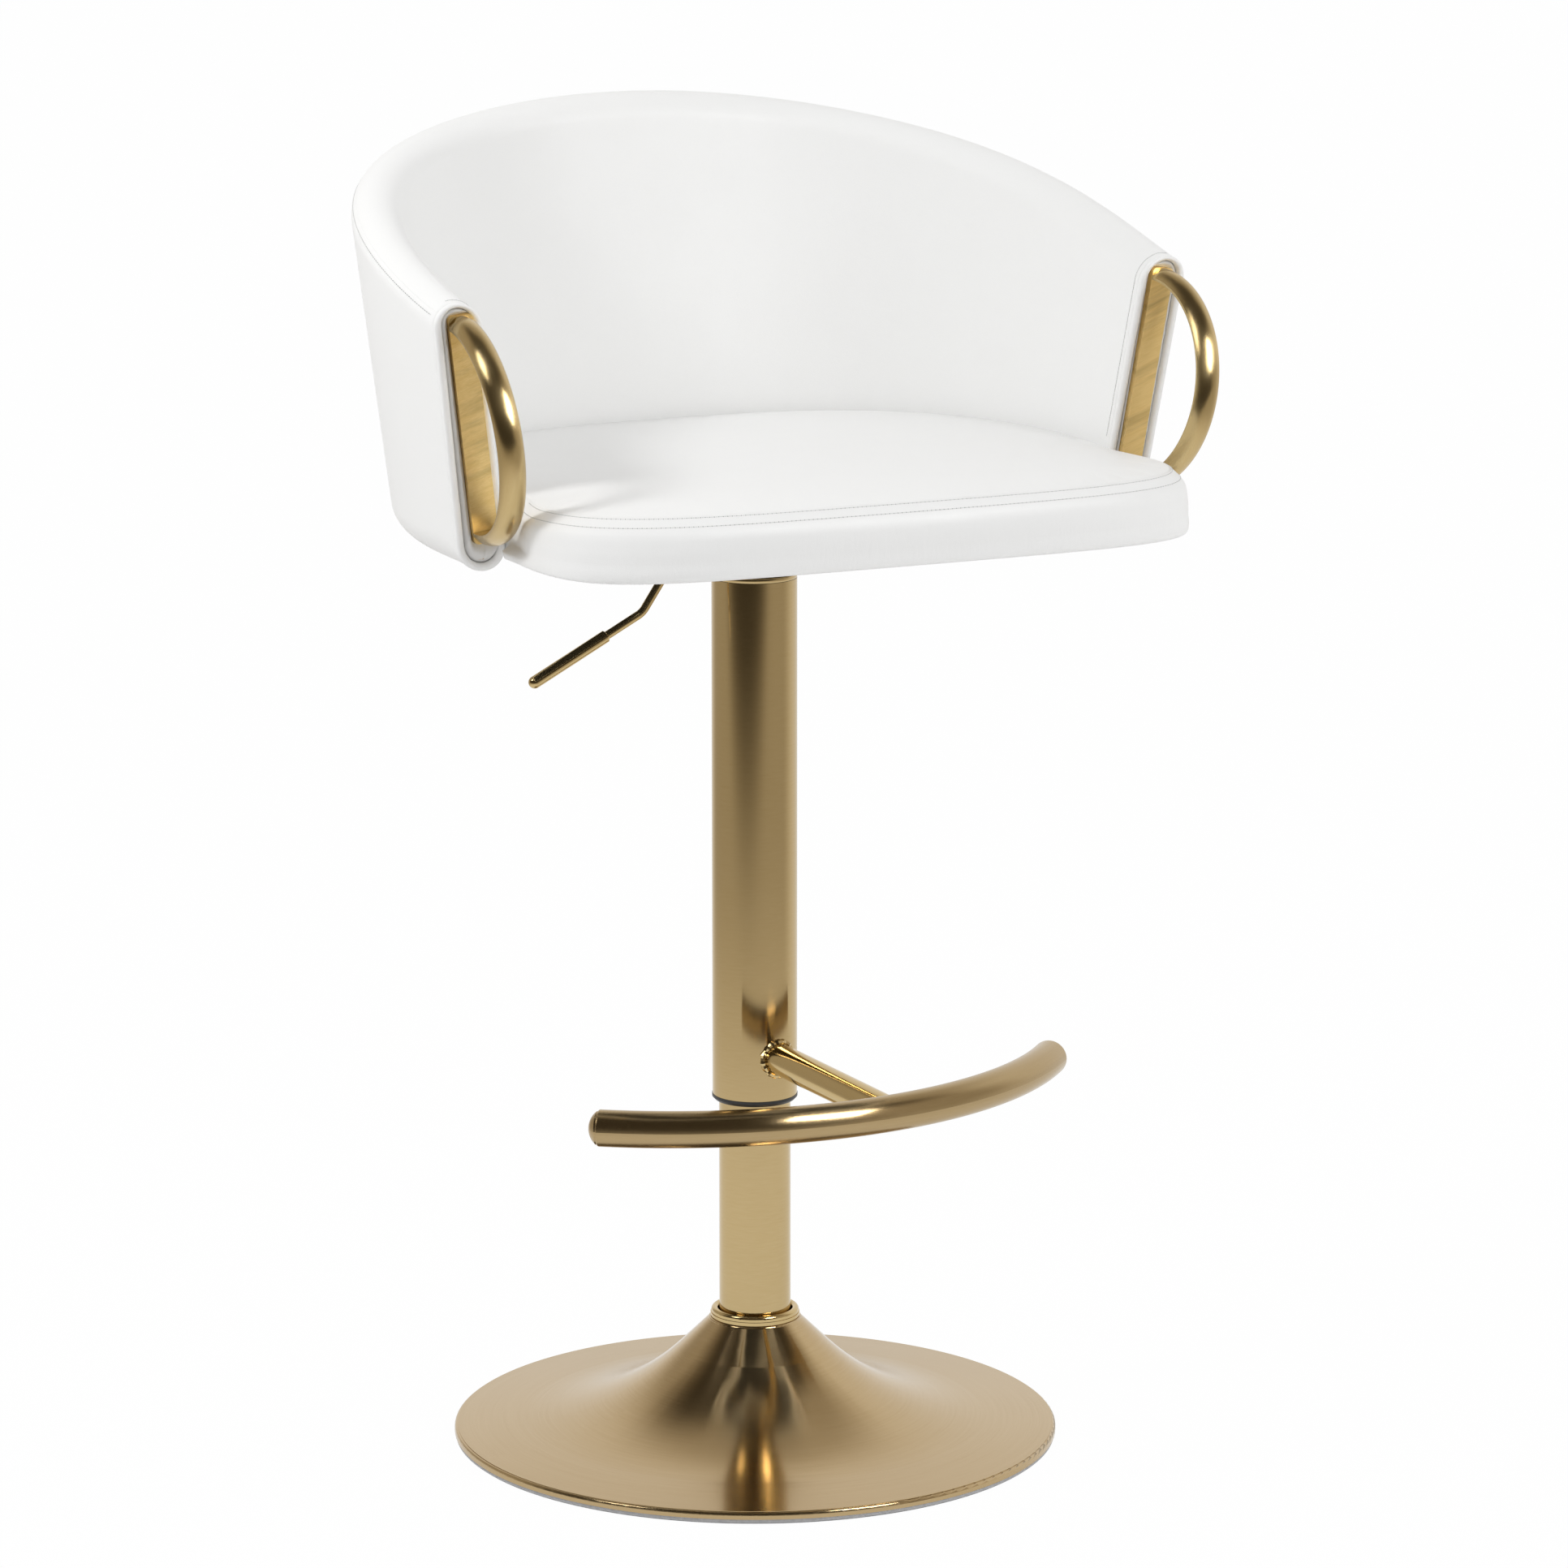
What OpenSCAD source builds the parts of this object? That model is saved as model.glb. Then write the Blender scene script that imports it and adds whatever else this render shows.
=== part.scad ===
// Height-adjustable bar stool with a wraparound back, two D-shaped handles
// and a footrest that hangs from the lift sleeve.
// +Z up, front of the stool towards -Y, origin on the floor under the column.

/* [Base] */
// Outer diameter of the spun base
base_d = 430; // [360:5:480]
// Thickness of the spun sheet
shell_t = 1.6; // [1.2:0.1:2.4]
// Height of the rubber ring under the rim
ring_h = 3.5; // [2.5:0.5:5]
// Height of the rolled rim above the ring
rim_h = 5.2; // [4:0.2:8]
// Radius of the rolled rim edge
rim_r = 2.2; // [1.6:0.1:3]
// Height of the neck of the base above the floor
neck_z = 86; // [78:1:95]
// Slope of the trumpet cone, degrees from level
cone_a = 44.5; // [40:0.5:48]
// Slope of the disc, degrees from level
disc_a = 5; // [3:0.5:6]
// Radius that blends cone and disc
blend_r = 176; // [140:2:190]
// Thickness of the weight plate
weight_t = 7; // [5:0.5:9]
// Gap from the edge of the base to the edge of the weight plate
weight_in = 39; // [36:1:60]

/* [Column] */
// Outer diameter of the standing tube
stand_d = 50.8; // [48:0.1:52]
// Wall of the standing tube
stand_t = 2; // [1.5:0.1:2.5]
// Height of the top of the standing tube
stand_top = 470; // [440:1:472]
// Height of the collar ring on the base
collar_h = 7; // [5:0.5:10]
// Radial width of the collar ring
collar_w = 5; // [4:0.1:6]
// Outer diameter of the sliding outer tube
sleeve_d = 60; // [59:0.5:64]
// Wall of the outer tube
sleeve_t = 1.5; // [1.2:0.1:1.8]
// Height of the lower edge of the outer tube at the middle lift position
sleeve_z = 250; // [240:1:262]
// Height of the top edge of the outer tube
sleeve_top = 620.4; // [615:0.2:624]
// Visible height of the plastic end ring
end_ring_h = 4; // [3:0.5:6]
// Running clearance of guides and bushes
run = 0.05; // [0.03:0.01:0.09]

/* [Gas lift] */
// Diameter of the lift cylinder
gas_d = 28; // [26:0.5:30]
// Wall of the lift cylinder
gas_t = 2.5; // [2:0.1:3]
// Height of the lower end of the cylinder
gas_z = 190; // [180:1:220]
// Half angle of the mounting taper
taper_a = 1.8; // [1.2:0.1:2.4]
// Length of the mounting taper
taper_l = 34; // [30:1:36]
// Diameter of the piston rod
rod_d = 10; // [8:0.5:12]
// Height of the top of the piston rod
rod_top = 440; // [420:1:455]
// Diameter of the release pin
pin_d = 6; // [5:0.5:7]
// Height that the release pin stands out of the cylinder
pin_out = 7.4; // [6:0.1:7.6]

/* [Footrest] */
// Diameter of the footrest bar
bar_d = 25.4; // [22:0.2:30]
// Height of the centre of the footrest bar
bar_z = 270.6; // [266:0.2:285]
// Bend radius of the footrest bar
bar_r = 276; // [240:1:320]
// Reach of the bar's centre line in front of the column axis
bar_reach = 167; // [150:1:190]
// Length of the bar along its bend, without its caps
bar_len = 400; // [340:2:440]
// Angle at which the footrest is set on the column
bar_turn = 7; // [-10:0.5:10]
// Turn of the bend against the strut, degrees
bar_yaw = -3.9; // [-6:0.1:4]
// Shift of the bar along its bend, mm
bar_slide = 5; // [0:0.5:10]
// Diameter of the strut
strut_d = 22.2; // [19:0.2:24]
// Drop of the strut from column to bar
strut_drop = 10.5; // [0:0.5:16]
// Wall of the strut and of the bar
tube_t = 1.5; // [1.2:0.1:2]

/* [Back] */
// Half width of the back at the arm ends, on the middle of its thickness
arm_x = 259.5; // [250:0.5:275]
// Distance of the arm ends in front of the column axis
arm_y = 92; // [80:1:105]
// Depth of the back from the arm ends to its rear middle
back_depth = 281.5; // [265:0.5:300]
// Squareness of the plan curve, 2 is an ellipse
plan_n = 2.68; // [2.2:0.02:3]
// Thickness of the padded back
back_t = 35; // [32:0.5:40]
// Thickness of the bent plywood
ply_t = 9; // [6:0.5:10]
// Height of the lower edge of the back
back_z0 = 657; // [652:1:659]
// Height of the rim at the arm ends
rim_arm = 840.2; // [832:0.2:850]
// Height of the rim at the rear middle
rim_back = 939.5; // [900:0.5:980]
// How late the rim rises from the arms to the rear
rim_pow = 1.17; // [0.9:0.01:1.5]
// Outward lean of the wall, as a share of height
lean = 0.142; // [0.11:0.002:0.16]
// Forward rake of the arm ends, as a share of height
rake = 0.095; // [0.06:0.005:0.12]
// Radius of the lower outer edge
edge_r = 24; // [18:0.5:26]

/* [Handles] */
// Radius of the handle arch
arch_r = 78.3; // [72:0.1:80]
// Width of the handle bar
handle_w = 18.3; // [16:0.1:19]
// Thickness of the handle plate
plate_t = 6; // [4:0.5:8]
// Rise of the half-round arch bar
arch_h = 8.7; // [7:0.1:9]
// Height of the middle of the handles
handle_z = 754.8; // [750:0.2:758]
// Distance of the handle face in front of the arm end
handle_out = 3.5; // [3:0.1:5]
// Outward turn of the handles
handle_turn = 5.46; // [3:0.1:7]
// Outward lean of the handles
handle_lean = 7.83; // [7:0.01:8.6]
// Forward lean of the handles
handle_rake = 4.45; // [3:0.05:5.5]

/* [Seat] */
// Height of the underside of the seat board
board_z = 667; // [665:0.5:669]
// Thickness of the seat board
board_t = 12; // [9:0.5:15]
// Height of the stitched front edge of the cushion
seam_z = 709; // [700:0.5:716]
// Crown of the cushion above its stitched edge
crown = 8; // [4:0.5:14]
// Distance of the cushion's front in front of the column axis
seat_front = 248.5; // [235:0.5:265]
// Widening of the cushion towards its front corners, each side
seat_flare = 10; // [6:0.5:18]
// Squareness of the front corners
seat_n = 4.1; // [3:0.1:6]
// Squareness of the cushion's corners at its lower edge
seat_n_low = 5.4; // [4:0.1:9]
// How far the front edge bows
seat_bow = 3; // [0:0.5:16]
// Turn of the cushion's front to the side of the lever, degrees
seat_twist = 1.9; // [0:0.1:2.4]

/* [Seat mechanism] */
// Width of the mounting plate, side to side
mount_w = 190; // [160:2:210]
// Depth of the mounting plate, front to back
mount_l = 170; // [150:2:190]
// Thickness of the mounting plate
mount_t = 3; // [2:0.5:3]
// Side distance of the bolts from the axis
bolt_x = 80; // [66:1:86]
// Front distance of the bolts from the axis
bolt_y = 70; // [60:1:76]
// Diameter of the bolts
bolt_d = 6; // [5:0.5:8]
// Length of the lever channel
chan_l = 64; // [58:1:76]
// Width of the lever channel
chan_w = 50; // [46:1:60]
// Sheet of the lever channel
chan_t = 2.5; // [2:0.1:3]
// Diameter of the lever rod
lever_d = 6; // [5:0.5:7]
// Diameter of the lever grip
grip_d = 8.8; // [8:0.2:11]
// Length of the lever grip
grip_l = 66; // [50:1:80]
// Distance of the lever pivot from the axis
pivot_x = 27; // [25:0.5:28]

/* [Hidden] */

$fn = 96;
eps = 0.01;
gap = 0.2;                       // seam between soft layers
fit = 0.05;                      // play of pressed and sleeved parts
gold = [0.80, 0.66, 0.42];
steel = [0.62, 0.63, 0.65];
leather = [0.94, 0.94, 0.93];
ply = [0.80, 0.66, 0.46];
black = [0.10, 0.10, 0.10];

base_r = base_d / 2;
weight_d = base_d - 2 * weight_in;
stand_r = stand_d / 2;
sleeve_r = sleeve_d / 2;
gas_r = gas_d / 2;
rod_r = rod_d / 2;
bar_rad = bar_d / 2;

// ---------------------------------------------------------------- base
rim_z = ring_h + rim_h;                       // top of the rim edge
neck_r = stand_r + collar_w + 1.2;            // top of the trumpet
cone_r0 = neck_r + 1.6;
cone_k = tan(cone_a);
disc_k = tan(disc_a);
// where the cone line and the disc line would cross
cross_r = (neck_z - 1.4 + cone_k * cone_r0 - rim_z - disc_k * base_r)
    / (cone_k - disc_k);
cross_z = rim_z + disc_k * (base_r - cross_r);
half_a = (cone_a - disc_a) / 2;
tan_l = blend_r * tan(half_a);
// centre of the blend arc, above the concave side
bis_l = blend_r / cos(half_a);
bis_a = (cone_a + disc_a) / 2;
arc_c = [cross_r + bis_l * sin(bis_a), cross_z + bis_l * cos(bis_a)];

// area under the trumpet line, moved in by t along the normal
module under_trumpet(t) {
    k1 = t / cos(cone_a);
    k2 = t / cos(disc_a);
    c = arc_c;
    rr = blend_r + t;
    difference() {
        polygon([[0, 0], [base_r - t, 0],
            [base_r - t, rim_z - k2 + disc_k * t],
            [c[0] - rr * sin(disc_a) * 1, c[1] - rr * cos(disc_a)],
            [c[0], c[1] - rr * 0.62],
            [c[0] - rr * sin(cone_a), c[1] - rr * cos(cone_a)],
            [cone_r0, neck_z - 1.4 - k1],
            [0, neck_z - 1.4 - k1]]);
        translate(c) circle(r = rr, $fn = 360);
    }
}
module trumpet_profile() {
    difference() {
        union() {
            difference() {
                under_trumpet(0);
                // rolled rim edge
                translate([base_r - rim_r, rim_z - rim_r - 0.3])
                    difference() {
                        translate([0, 0]) square([rim_r + 1, rim_r + 2]);
                        circle(r = rim_r, $fn = 48);
                    }
            }
            // lip that carries the collar
            translate([neck_r - shell_t - 1, neck_z - 6]) square([shell_t + 2.6, 4.6]);
            translate([neck_r - shell_t - 1, neck_z - 3]) square([shell_t + 1, 3]);
            translate([neck_r, neck_z - 1.6]) circle(r = 1.6, $fn = 32);
        }
        under_trumpet(shell_t);
        translate([0, -1]) square([base_r - shell_t, rim_z - shell_t]);
        square([neck_r - shell_t - 1, neck_z + 1]);
        translate([0, -1]) square([base_r + 1, ring_h + 1 + fit]);
    }
}
module base_shell() color(gold) rotate_extrude($fn = 180) trumpet_profile();

module floor_ring() color([0.55, 0.55, 0.55]) rotate_extrude($fn = 180)
    polygon([[weight_d / 2 - 10, 0], [base_r - 2.4, 0], [base_r - 0.8, 1.2],
        [base_r - 0.8, ring_h], [weight_d / 2 - 10, ring_h]]);

hub_r = stand_r + 7.4;
hub_top = neck_z - 14;
foot_z = 8;                                    // where the stand tube rests
module base_weight() color([0.3, 0.3, 0.31]) difference() {
    translate([0, 0, ring_h]) cylinder(d = weight_d, h = weight_t, $fn = 120);
    translate([0, 0, ring_h - 1]) cylinder(r = hub_r + fit, h = weight_t + 2);
}
module base_hub() color([0.3, 0.3, 0.31]) difference() {
    union() {
        translate([0, 0, ring_h]) cylinder(r = hub_r, h = hub_top - ring_h);
        translate([0, 0, ring_h + weight_t]) cylinder(r = hub_r + 9, h = 4);
    }
    translate([0, 0, foot_z]) cylinder(r = stand_r + fit, h = hub_top);
    translate([0, 0, ring_h - 1]) cylinder(r = stand_r - 3.4, h = 30);
}
collar_r = stand_r + 0.8;
module base_collar() color(gold) rotate_extrude($fn = 120) {
    intersection() {
        union() {
            translate([collar_r, neck_z]) square([collar_w, collar_h - collar_w / 2]);
            translate([collar_r + collar_w / 2, neck_z + collar_h - collar_w / 2])
                circle(d = collar_w, $fn = 48);
        }
        translate([collar_r, neck_z]) square([collar_w + 1, collar_h + 1]);
    }
    translate([collar_r, neck_z + 0.9]) difference() {
        square([collar_w + 0.6, 1.8]);
        translate([collar_w + 0.6, -0.2]) rotate(-30) square([2, 1.2]);
    }
}

// ---------------------------------------------------------- column, base side
module stand_tube() color(gold) difference() {
    translate([0, 0, foot_z]) cylinder(r = stand_r, h = stand_top - foot_z);
    translate([0, 0, foot_z - 1]) cylinder(r = stand_r - stand_t, h = stand_top);
}
foot_t = 5;
module tube_foot() color(steel) difference() {
    translate([0, 0, foot_z]) cylinder(r = stand_r - stand_t - fit, h = foot_t);
    translate([0, 0, foot_z - 1]) cylinder(r = rod_r + 1.2, h = foot_t + 2);
}
bush_l = 50;
module guide_bush() color(black) difference() {
    union() {
        translate([0, 0, stand_top - bush_l])
            cylinder(r = stand_r - stand_t - fit, h = bush_l);
        translate([0, 0, stand_top]) cylinder(r = stand_r, h = 3.5);
    }
    translate([0, 0, stand_top - bush_l - 1])
        cylinder(r = gas_r + run, h = bush_l + 6);
}
race_z = foot_z + foot_t;
race_t = 1.6;
cage_t = 3;
race_r = rod_r + 9;
module thrust_race_lower() color(steel) difference() {
    translate([0, 0, race_z]) cylinder(r = race_r, h = race_t);
    translate([0, 0, race_z - 1]) cylinder(r = rod_r + 0.3, h = race_t + 2);
}
module thrust_cage() color(steel) {
    z = race_z + race_t;
    difference() {
        translate([0, 0, z + 0.6]) cylinder(r = race_r - 1, h = cage_t - 1.2);
        translate([0, 0, z - 1]) cylinder(r = rod_r + 1, h = cage_t + 2);
        for (i = [0:11]) rotate(i * 30) translate([rod_r + 5, 0, z + cage_t / 2])
            sphere(d = cage_t + 0.1, $fn = 24);
    }
    for (i = [0:11]) rotate(i * 30) translate([rod_r + 5, 0, z + cage_t / 2])
        sphere(d = cage_t, $fn = 24);
}
upper_z = race_z + race_t + cage_t + 0.05;
module thrust_race_upper() color(steel) difference() {
    translate([0, 0, upper_z]) cylinder(r = race_r, h = race_t);
    translate([0, 0, upper_z - 1]) cylinder(r = rod_r + fit, h = race_t + 2);
}

// ---------------------------------------------------------------- lift
clip_z = foot_z - 1.6;
clip_t = 1.2;
module piston_rod() color(steel) difference() {
    union() {
        translate([0, 0, clip_z - 1.6]) cylinder(r = rod_r, h = rod_top - clip_z + 1.6);
        translate([0, 0, upper_z + race_t]) cylinder(r = rod_r + 3, h = 3.5);
    }
    translate([0, 0, clip_z - 0.1]) difference() {
        cylinder(r = rod_r + 1, h = clip_t + 0.2);
        translate([0, 0, -1]) cylinder(r = rod_r - 0.9, h = clip_t + 3);
    }
}
module rod_clip() color(black) difference() {
    translate([0, 0, clip_z]) cylinder(r = rod_r + 3.5, h = clip_t);
    translate([0, 0, clip_z - 1]) cylinder(r = rod_r - 0.85, h = clip_t + 2);
    translate([-1.5, 0, clip_z - 1]) cube([3, rod_r + 5, clip_t + 2]);
}
piston_t = 14;
module piston() color(black) difference() {
    translate([0, 0, rod_top - piston_t - 4]) cylinder(r = gas_r - gas_t - 0.09, h = piston_t);
    translate([0, 0, rod_top - piston_t - 5]) cylinder(r = rod_r + fit, h = piston_t + 2);
}
taper_z = sleeve_top - 14.4;                   // where the taper starts
gas_top = taper_z + taper_l;
function taper_r(z) = gas_r - max(0, z - taper_z) * tan(taper_a);
module taper(z0, z1, c) translate([0, 0, z0])
    cylinder(r1 = taper_r(z0) + c, r2 = taper_r(z1) + c, h = z1 - z0);
module gas_cylinder() color([0.12, 0.12, 0.13]) difference() {
    union() {
        translate([0, 0, gas_z]) cylinder(r = gas_r, h = taper_z - gas_z);
        taper(taper_z, gas_top, 0);
    }
    translate([0, 0, gas_z - 1]) cylinder(r = gas_r - gas_t, h = taper_z - gas_z - 18);
    translate([0, 0, taper_z - 6]) cylinder(r = pin_d / 2 + run, h = taper_l + 12);
}
module rod_guide() color(steel) difference() {
    translate([0, 0, gas_z + 0.5]) cylinder(r = gas_r - gas_t - fit, h = 16);
    translate([0, 0, gas_z]) cylinder(r = rod_r + run, h = 20);
}
pin_travel = 3.4;
module release_pin() color(steel)
    translate([0, 0, taper_z - 2]) cylinder(r = pin_d / 2, h = taper_l + 2 + pin_out);

disc_t = 8;
module outer_tube() color(gold) difference() {
    translate([0, 0, sleeve_z]) cylinder(r = sleeve_r, h = sleeve_top - sleeve_z);
    translate([0, 0, sleeve_z - 1]) cylinder(r = sleeve_r - sleeve_t, h = sleeve_top);
}
module tube_top_disc() color(steel) difference() {
    translate([0, 0, sleeve_top - disc_t])
        cylinder(r = sleeve_r - sleeve_t - fit, h = disc_t);
    taper(sleeve_top - disc_t - 1, sleeve_top + 1, fit);
}
module tube_end_ring() color(black) {
    bush = 24;
    difference() {
        union() {
            translate([0, 0, sleeve_z]) cylinder(r = sleeve_r - sleeve_t - fit, h = bush);
            rotate_extrude($fn = 96) polygon([[stand_r - 1, sleeve_z - end_ring_h],
                [sleeve_r - 1.6, sleeve_z - end_ring_h],
                [sleeve_r + 0.3, sleeve_z - end_ring_h * 0.5],
                [sleeve_r + 0.3, sleeve_z], [stand_r - 1, sleeve_z]]);
        }
        translate([0, 0, sleeve_z - end_ring_h - 1])
            cylinder(r = stand_r + run, h = bush + end_ring_h + 2);
    }
}

// ------------------------------------------------------------- footrest
bar_half = bar_len / 2 / bar_r * 180 / PI;      // half angle of the bend
bar_cy = bar_r - bar_reach;                     // bend centre behind the axis
// frame of the footrest: front towards -Y, turned about the column
module at_footrest() rotate(bar_turn) children();
// the bend's own frame, turned to one place on the arc
module at_bend(a) rotate(bar_yaw) translate([0, bar_cy, bar_z])
    rotate(-90 + a + bar_slide / bar_r * 180 / PI) children();
module bar_solid(r) at_bend(-bar_half)
    rotate_extrude(angle = 2 * bar_half, $fn = 240) translate([bar_r, 0]) circle(r = r, $fn = 64);
module footrest_bar() color(gold) at_footrest() difference() {
    bar_solid(bar_rad);
    at_bend(-bar_half - 1) rotate_extrude(angle = 2 * bar_half + 2, $fn = 240)
        translate([bar_r, 0]) circle(r = bar_rad - tube_t, $fn = 64);
}
cap_dome = 15;
module cap_profile() {
    difference() {
        square([bar_rad, 11]);
        translate([0, 10 - cap_dome]) difference() {
            translate([0, 0]) square([bar_rad + 1, cap_dome + 8]);
            circle(r = cap_dome, $fn = 180);
        }
        translate([bar_rad - 1.2, 2.2]) difference() {
            square([2, 7]);
            circle(r = 1.2, $fn = 24);
        }
    }
    translate([0, -7]) square([bar_rad - tube_t - fit - 0.1, 7]);
}
module footrest_caps() color(gold) at_footrest() for (s = [-1, 1])
    at_bend(s * bar_half) translate([bar_r, 0, 0]) rotate([s > 0 ? -90 : 90, 0, 0]) rotate_extrude($fn = 64) cap_profile();
strut_z0 = bar_z - 0.8 + strut_drop;            // height at the column face
strut_dir = atan2(strut_drop, bar_reach - sleeve_r);
module strut_rod(r, l0, l1) translate([0, -sleeve_r, strut_z0])
    rotate([90 + strut_dir, 0, 0]) translate([0, 0, l0]) cylinder(r = r, h = l1 - l0, $fn = 64);
module footrest_strut() color(gold) at_footrest() difference() {
    strut_rod(strut_d / 2, -8, bar_reach - sleeve_r);
    strut_rod(strut_d / 2 - tube_t, -9, bar_reach - sleeve_r + 1);
    translate([0, 0, bar_z - 60]) cylinder(r = sleeve_r, h = 120);
    bar_solid(bar_rad);
}
// lumpy bead that follows the saddle where the strut meets the column
bead_n = 44;
function bead_mid(a) = let (r = strut_d / 2 + 0.9, x = r * cos(a), z = r * sin(a))
    [x, -sqrt(sleeve_r * sleeve_r - x * x) - 0.5, strut_z0 + z / cos(strut_dir)];
function bead_rad(i) = 2.1 + 0.45 * sin(i * 131) + 0.25 * sin(i * 77);
function bead_ring(i) = let (a = i * 360 / bead_n, m = bead_mid(a), q = bead_rad(i))
    [for (j = [0:7]) let (b = j * 45) m + [cos(a) * q * cos(b), -q * sin(b) , sin(a) * q * cos(b)]];
module strut_weld() color(gold) at_footrest() difference() {
    polyhedron([for (i = [0:bead_n - 1]) each bead_ring(i)],
        [for (i = [0:bead_n - 1], j = [0:7]) let (k = (i + 1) % bead_n, l = (j + 1) % 8)
            each [[i * 8 + j, i * 8 + l, k * 8 + l], [i * 8 + j, k * 8 + l, k * 8 + j]]]);
    translate([0, 0, bar_z - 60]) cylinder(r = sleeve_r, h = 120);
    strut_rod(strut_d / 2, -8, 40);
}

// ------------------------------------------------- wall of the back: geometry
z_ref = handle_z;                               // height where the plan is drawn
plan_e = 2 / plan_n;
raw = [for (i = [0:90]) let (t = 90 * pow(i / 90, 1.6))
    [arm_x * pow(cos(t), plan_e), -arm_y + back_depth * pow(sin(t), plan_e)]];
run_s = [for (i = 0, s = 0; i <= 90; s = s + (i < 90 ? norm(raw[i + 1] - raw[i]) : 0), i = i + 1) s];
half_len = run_s[90];
tab_x = [for (i = [0:90]) [run_s[i], raw[i][0]]];
tab_y = [for (i = [0:90]) [run_s[i], raw[i][1]]];
// right half, u from 0 at the arm end to 1 at the rear middle
function half_pt(u) = [lookup(u * half_len, tab_x), lookup(u * half_len, tab_y)];
function half_tan(u) = let (a = half_pt(max(0, u - 0.02)), b = half_pt(min(1, u + 0.02)), d = b - a)
    u > 0.985 ? [-1, 0] : (u < 0.02 ? [0, 1] : d / norm(d));
function uu(v) = v < 0.5 ? 2 * v : 2 - 2 * v;
function sg(v) = v < 0.5 ? -1 : 1;
function rim_at(v) = rim_arm + (rim_back - rim_arm) * pow(sin(90 * uu(v)), rim_pow);
// v from 0 at the left arm end over the rear to 1 at the right arm end;
// o is the distance outward from the middle of the wall
function pt(v, o, z) = let (u = uu(v), p = half_pt(u), t = half_tan(u),
    d = o + lean * (z - z_ref))
    [sg(v) * (p[0] + t[1] * d), p[1] - t[0] * d - rake * pow(1 - u, 2) * (z - z_ref), z];
function spread(u0, u1, n) = [for (i = [0:n]) u0 + (u1 - u0) * i / n];
function mirror_v(us) = concat([for (u = us) u / 2],
    [for (i = [len(us) - 2:-1:0]) 1 - us[i] / 2]);

module loft(rings) {
    n = len(rings);
    m = len(rings[0]);
    polyhedron([for (r = rings) each r],
        concat([[for (j = [0:m - 1]) j]], [[for (j = [m - 1:-1:0]) (n - 1) * m + j]],
            [for (i = [0:n - 2], j = [0:m - 1]) let (a = i * m + j, b = i * m + (j + 1) % m)
                each [[a, a + m, b + m], [a, b + m, b]]]), convexity = 8);
}
module wall(us, sec) loft([for (v = mirror_v(us)) [for (p = sec) p]]);

half_t = back_t / 2;
trim_l = 4;                                     // length of the arm trim
post_l = 27;                                    // length of the arm post
post_w = 10;                                    // half width of the post
slot_w = post_w + 2;                            // half width of the slot
u_trim = trim_l / half_len;
u_post = (trim_l + post_l) / half_len;
ply_in = -ply_t / 2 + 0.2;
ply_out = ply_t / 2 + 0.2;
core_z0 = back_z0 + 4;
seam_a = 40;                                    // place of the rim seam on the roll
function in_post(u) = u < u_post + 0.0005;
function crown_z(u) = rim_at(u / 2) - half_t;
function arc_pts(z, a0, a1, n) = [for (i = [0:n]) let (a = a0 + (a1 - a0) * i / n)
    [half_t * cos(a), z + half_t * sin(a)]];

// inner padding: inside face, roll over the rim, down to the seam
pad_low = 692;
function sec_inner(u) = let (z = crown_z(u), ib = in_post(u) ? -post_w - 0.3 : ply_in - 0.3,
    ob = in_post(u) ? post_w + 0.3 : ply_out + 0.3, zl = in_post(u) ? core_z0 : pad_low,
    c = (half_t - 0) * cos(seam_a))
    concat([[-half_t, zl], [-half_t, (zl + z) / 2], [-half_t, z]],
        arc_pts(z, 160, seam_a, 7),
        [[ob, z + ob * tan(seam_a)], [ob, z + gap], [ib, z + gap], [ib, (zl + z) / 2], [ib, zl]]);
// outer padding: from the seam down, round the lower edge and under the core
function sec_outer(u) = let (z = crown_z(u), ob = in_post(u) ? post_w + 0.3 : ply_out + 0.3,
    fo = half_t - edge_r, s = seam_a - 2)
    concat([[ob, core_z0 - gap], [ob, (core_z0 + z) / 2], [ob, z + ob * tan(s) - 0.3]],
        arc_pts(z, s, 0, 2), [[half_t, (back_z0 + z) / 2]],
        [for (i = [0:4]) let (a = i * 22.5) [fo + edge_r * cos(a), back_z0 + edge_r - edge_r * sin(a)]],
        [[in_post(u) ? -half_t + 4 : fo, core_z0 - gap]]);
function sec_core(u) = let (z = crown_z(u))
    [[ply_in, core_z0], [ply_in, (core_z0 + z) / 2], [ply_in, z], [ply_out, z],
        [ply_out, (core_z0 + z) / 2], [ply_out, core_z0]];
us_soft = concat([u_trim + 0.0007, u_post, u_post + 0.001], spread(0.12, 1, 14));
us_core = concat([u_post + 0.0006], spread(0.12, 1, 14));
module wall_loft(us, k) {
    vs = mirror_v(us);
    loft([for (v = vs) let (u = uu(v), s = k == 0 ? sec_inner(u) : k == 1 ? sec_outer(u) : sec_core(u))
        [for (p = s) pt(v, p[0], p[1])]]);
}
module inner_upholstery() color(leather) wall_loft(us_soft, 0);
module outer_upholstery() color(leather) wall_loft(us_soft, 1);
module back_core() color(ply) difference() {
    wall_loft(us_core, 2);
    at_arms() dowels(fit);
    at_brackets() bracket_holes(1.9, 12);
}

// frame of an arm end: X outward, Y back along the arm, Z up the wall
module at_arm(s) {
    m = pt(1, 0, z_ref);
    mirror([s < 0 ? 1 : 0, 0, 0]) translate([m[0], m[1], z_ref])
        rotate([atan(rake), atan(lean), 0]) children();
}
module at_arms() { at_arm(1) children(); at_arm(-1) children(); }
// frame of a handle: face of the plate at y = 0, front towards -Y
module at_handle(s) {
    m = pt(1, 0, z_ref);
    mirror([s < 0 ? 1 : 0, 0, 0]) translate([m[0] - 1.4, m[1] - handle_out, z_ref])
        rotate([handle_rake, handle_lean, handle_turn]) children();
}
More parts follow.
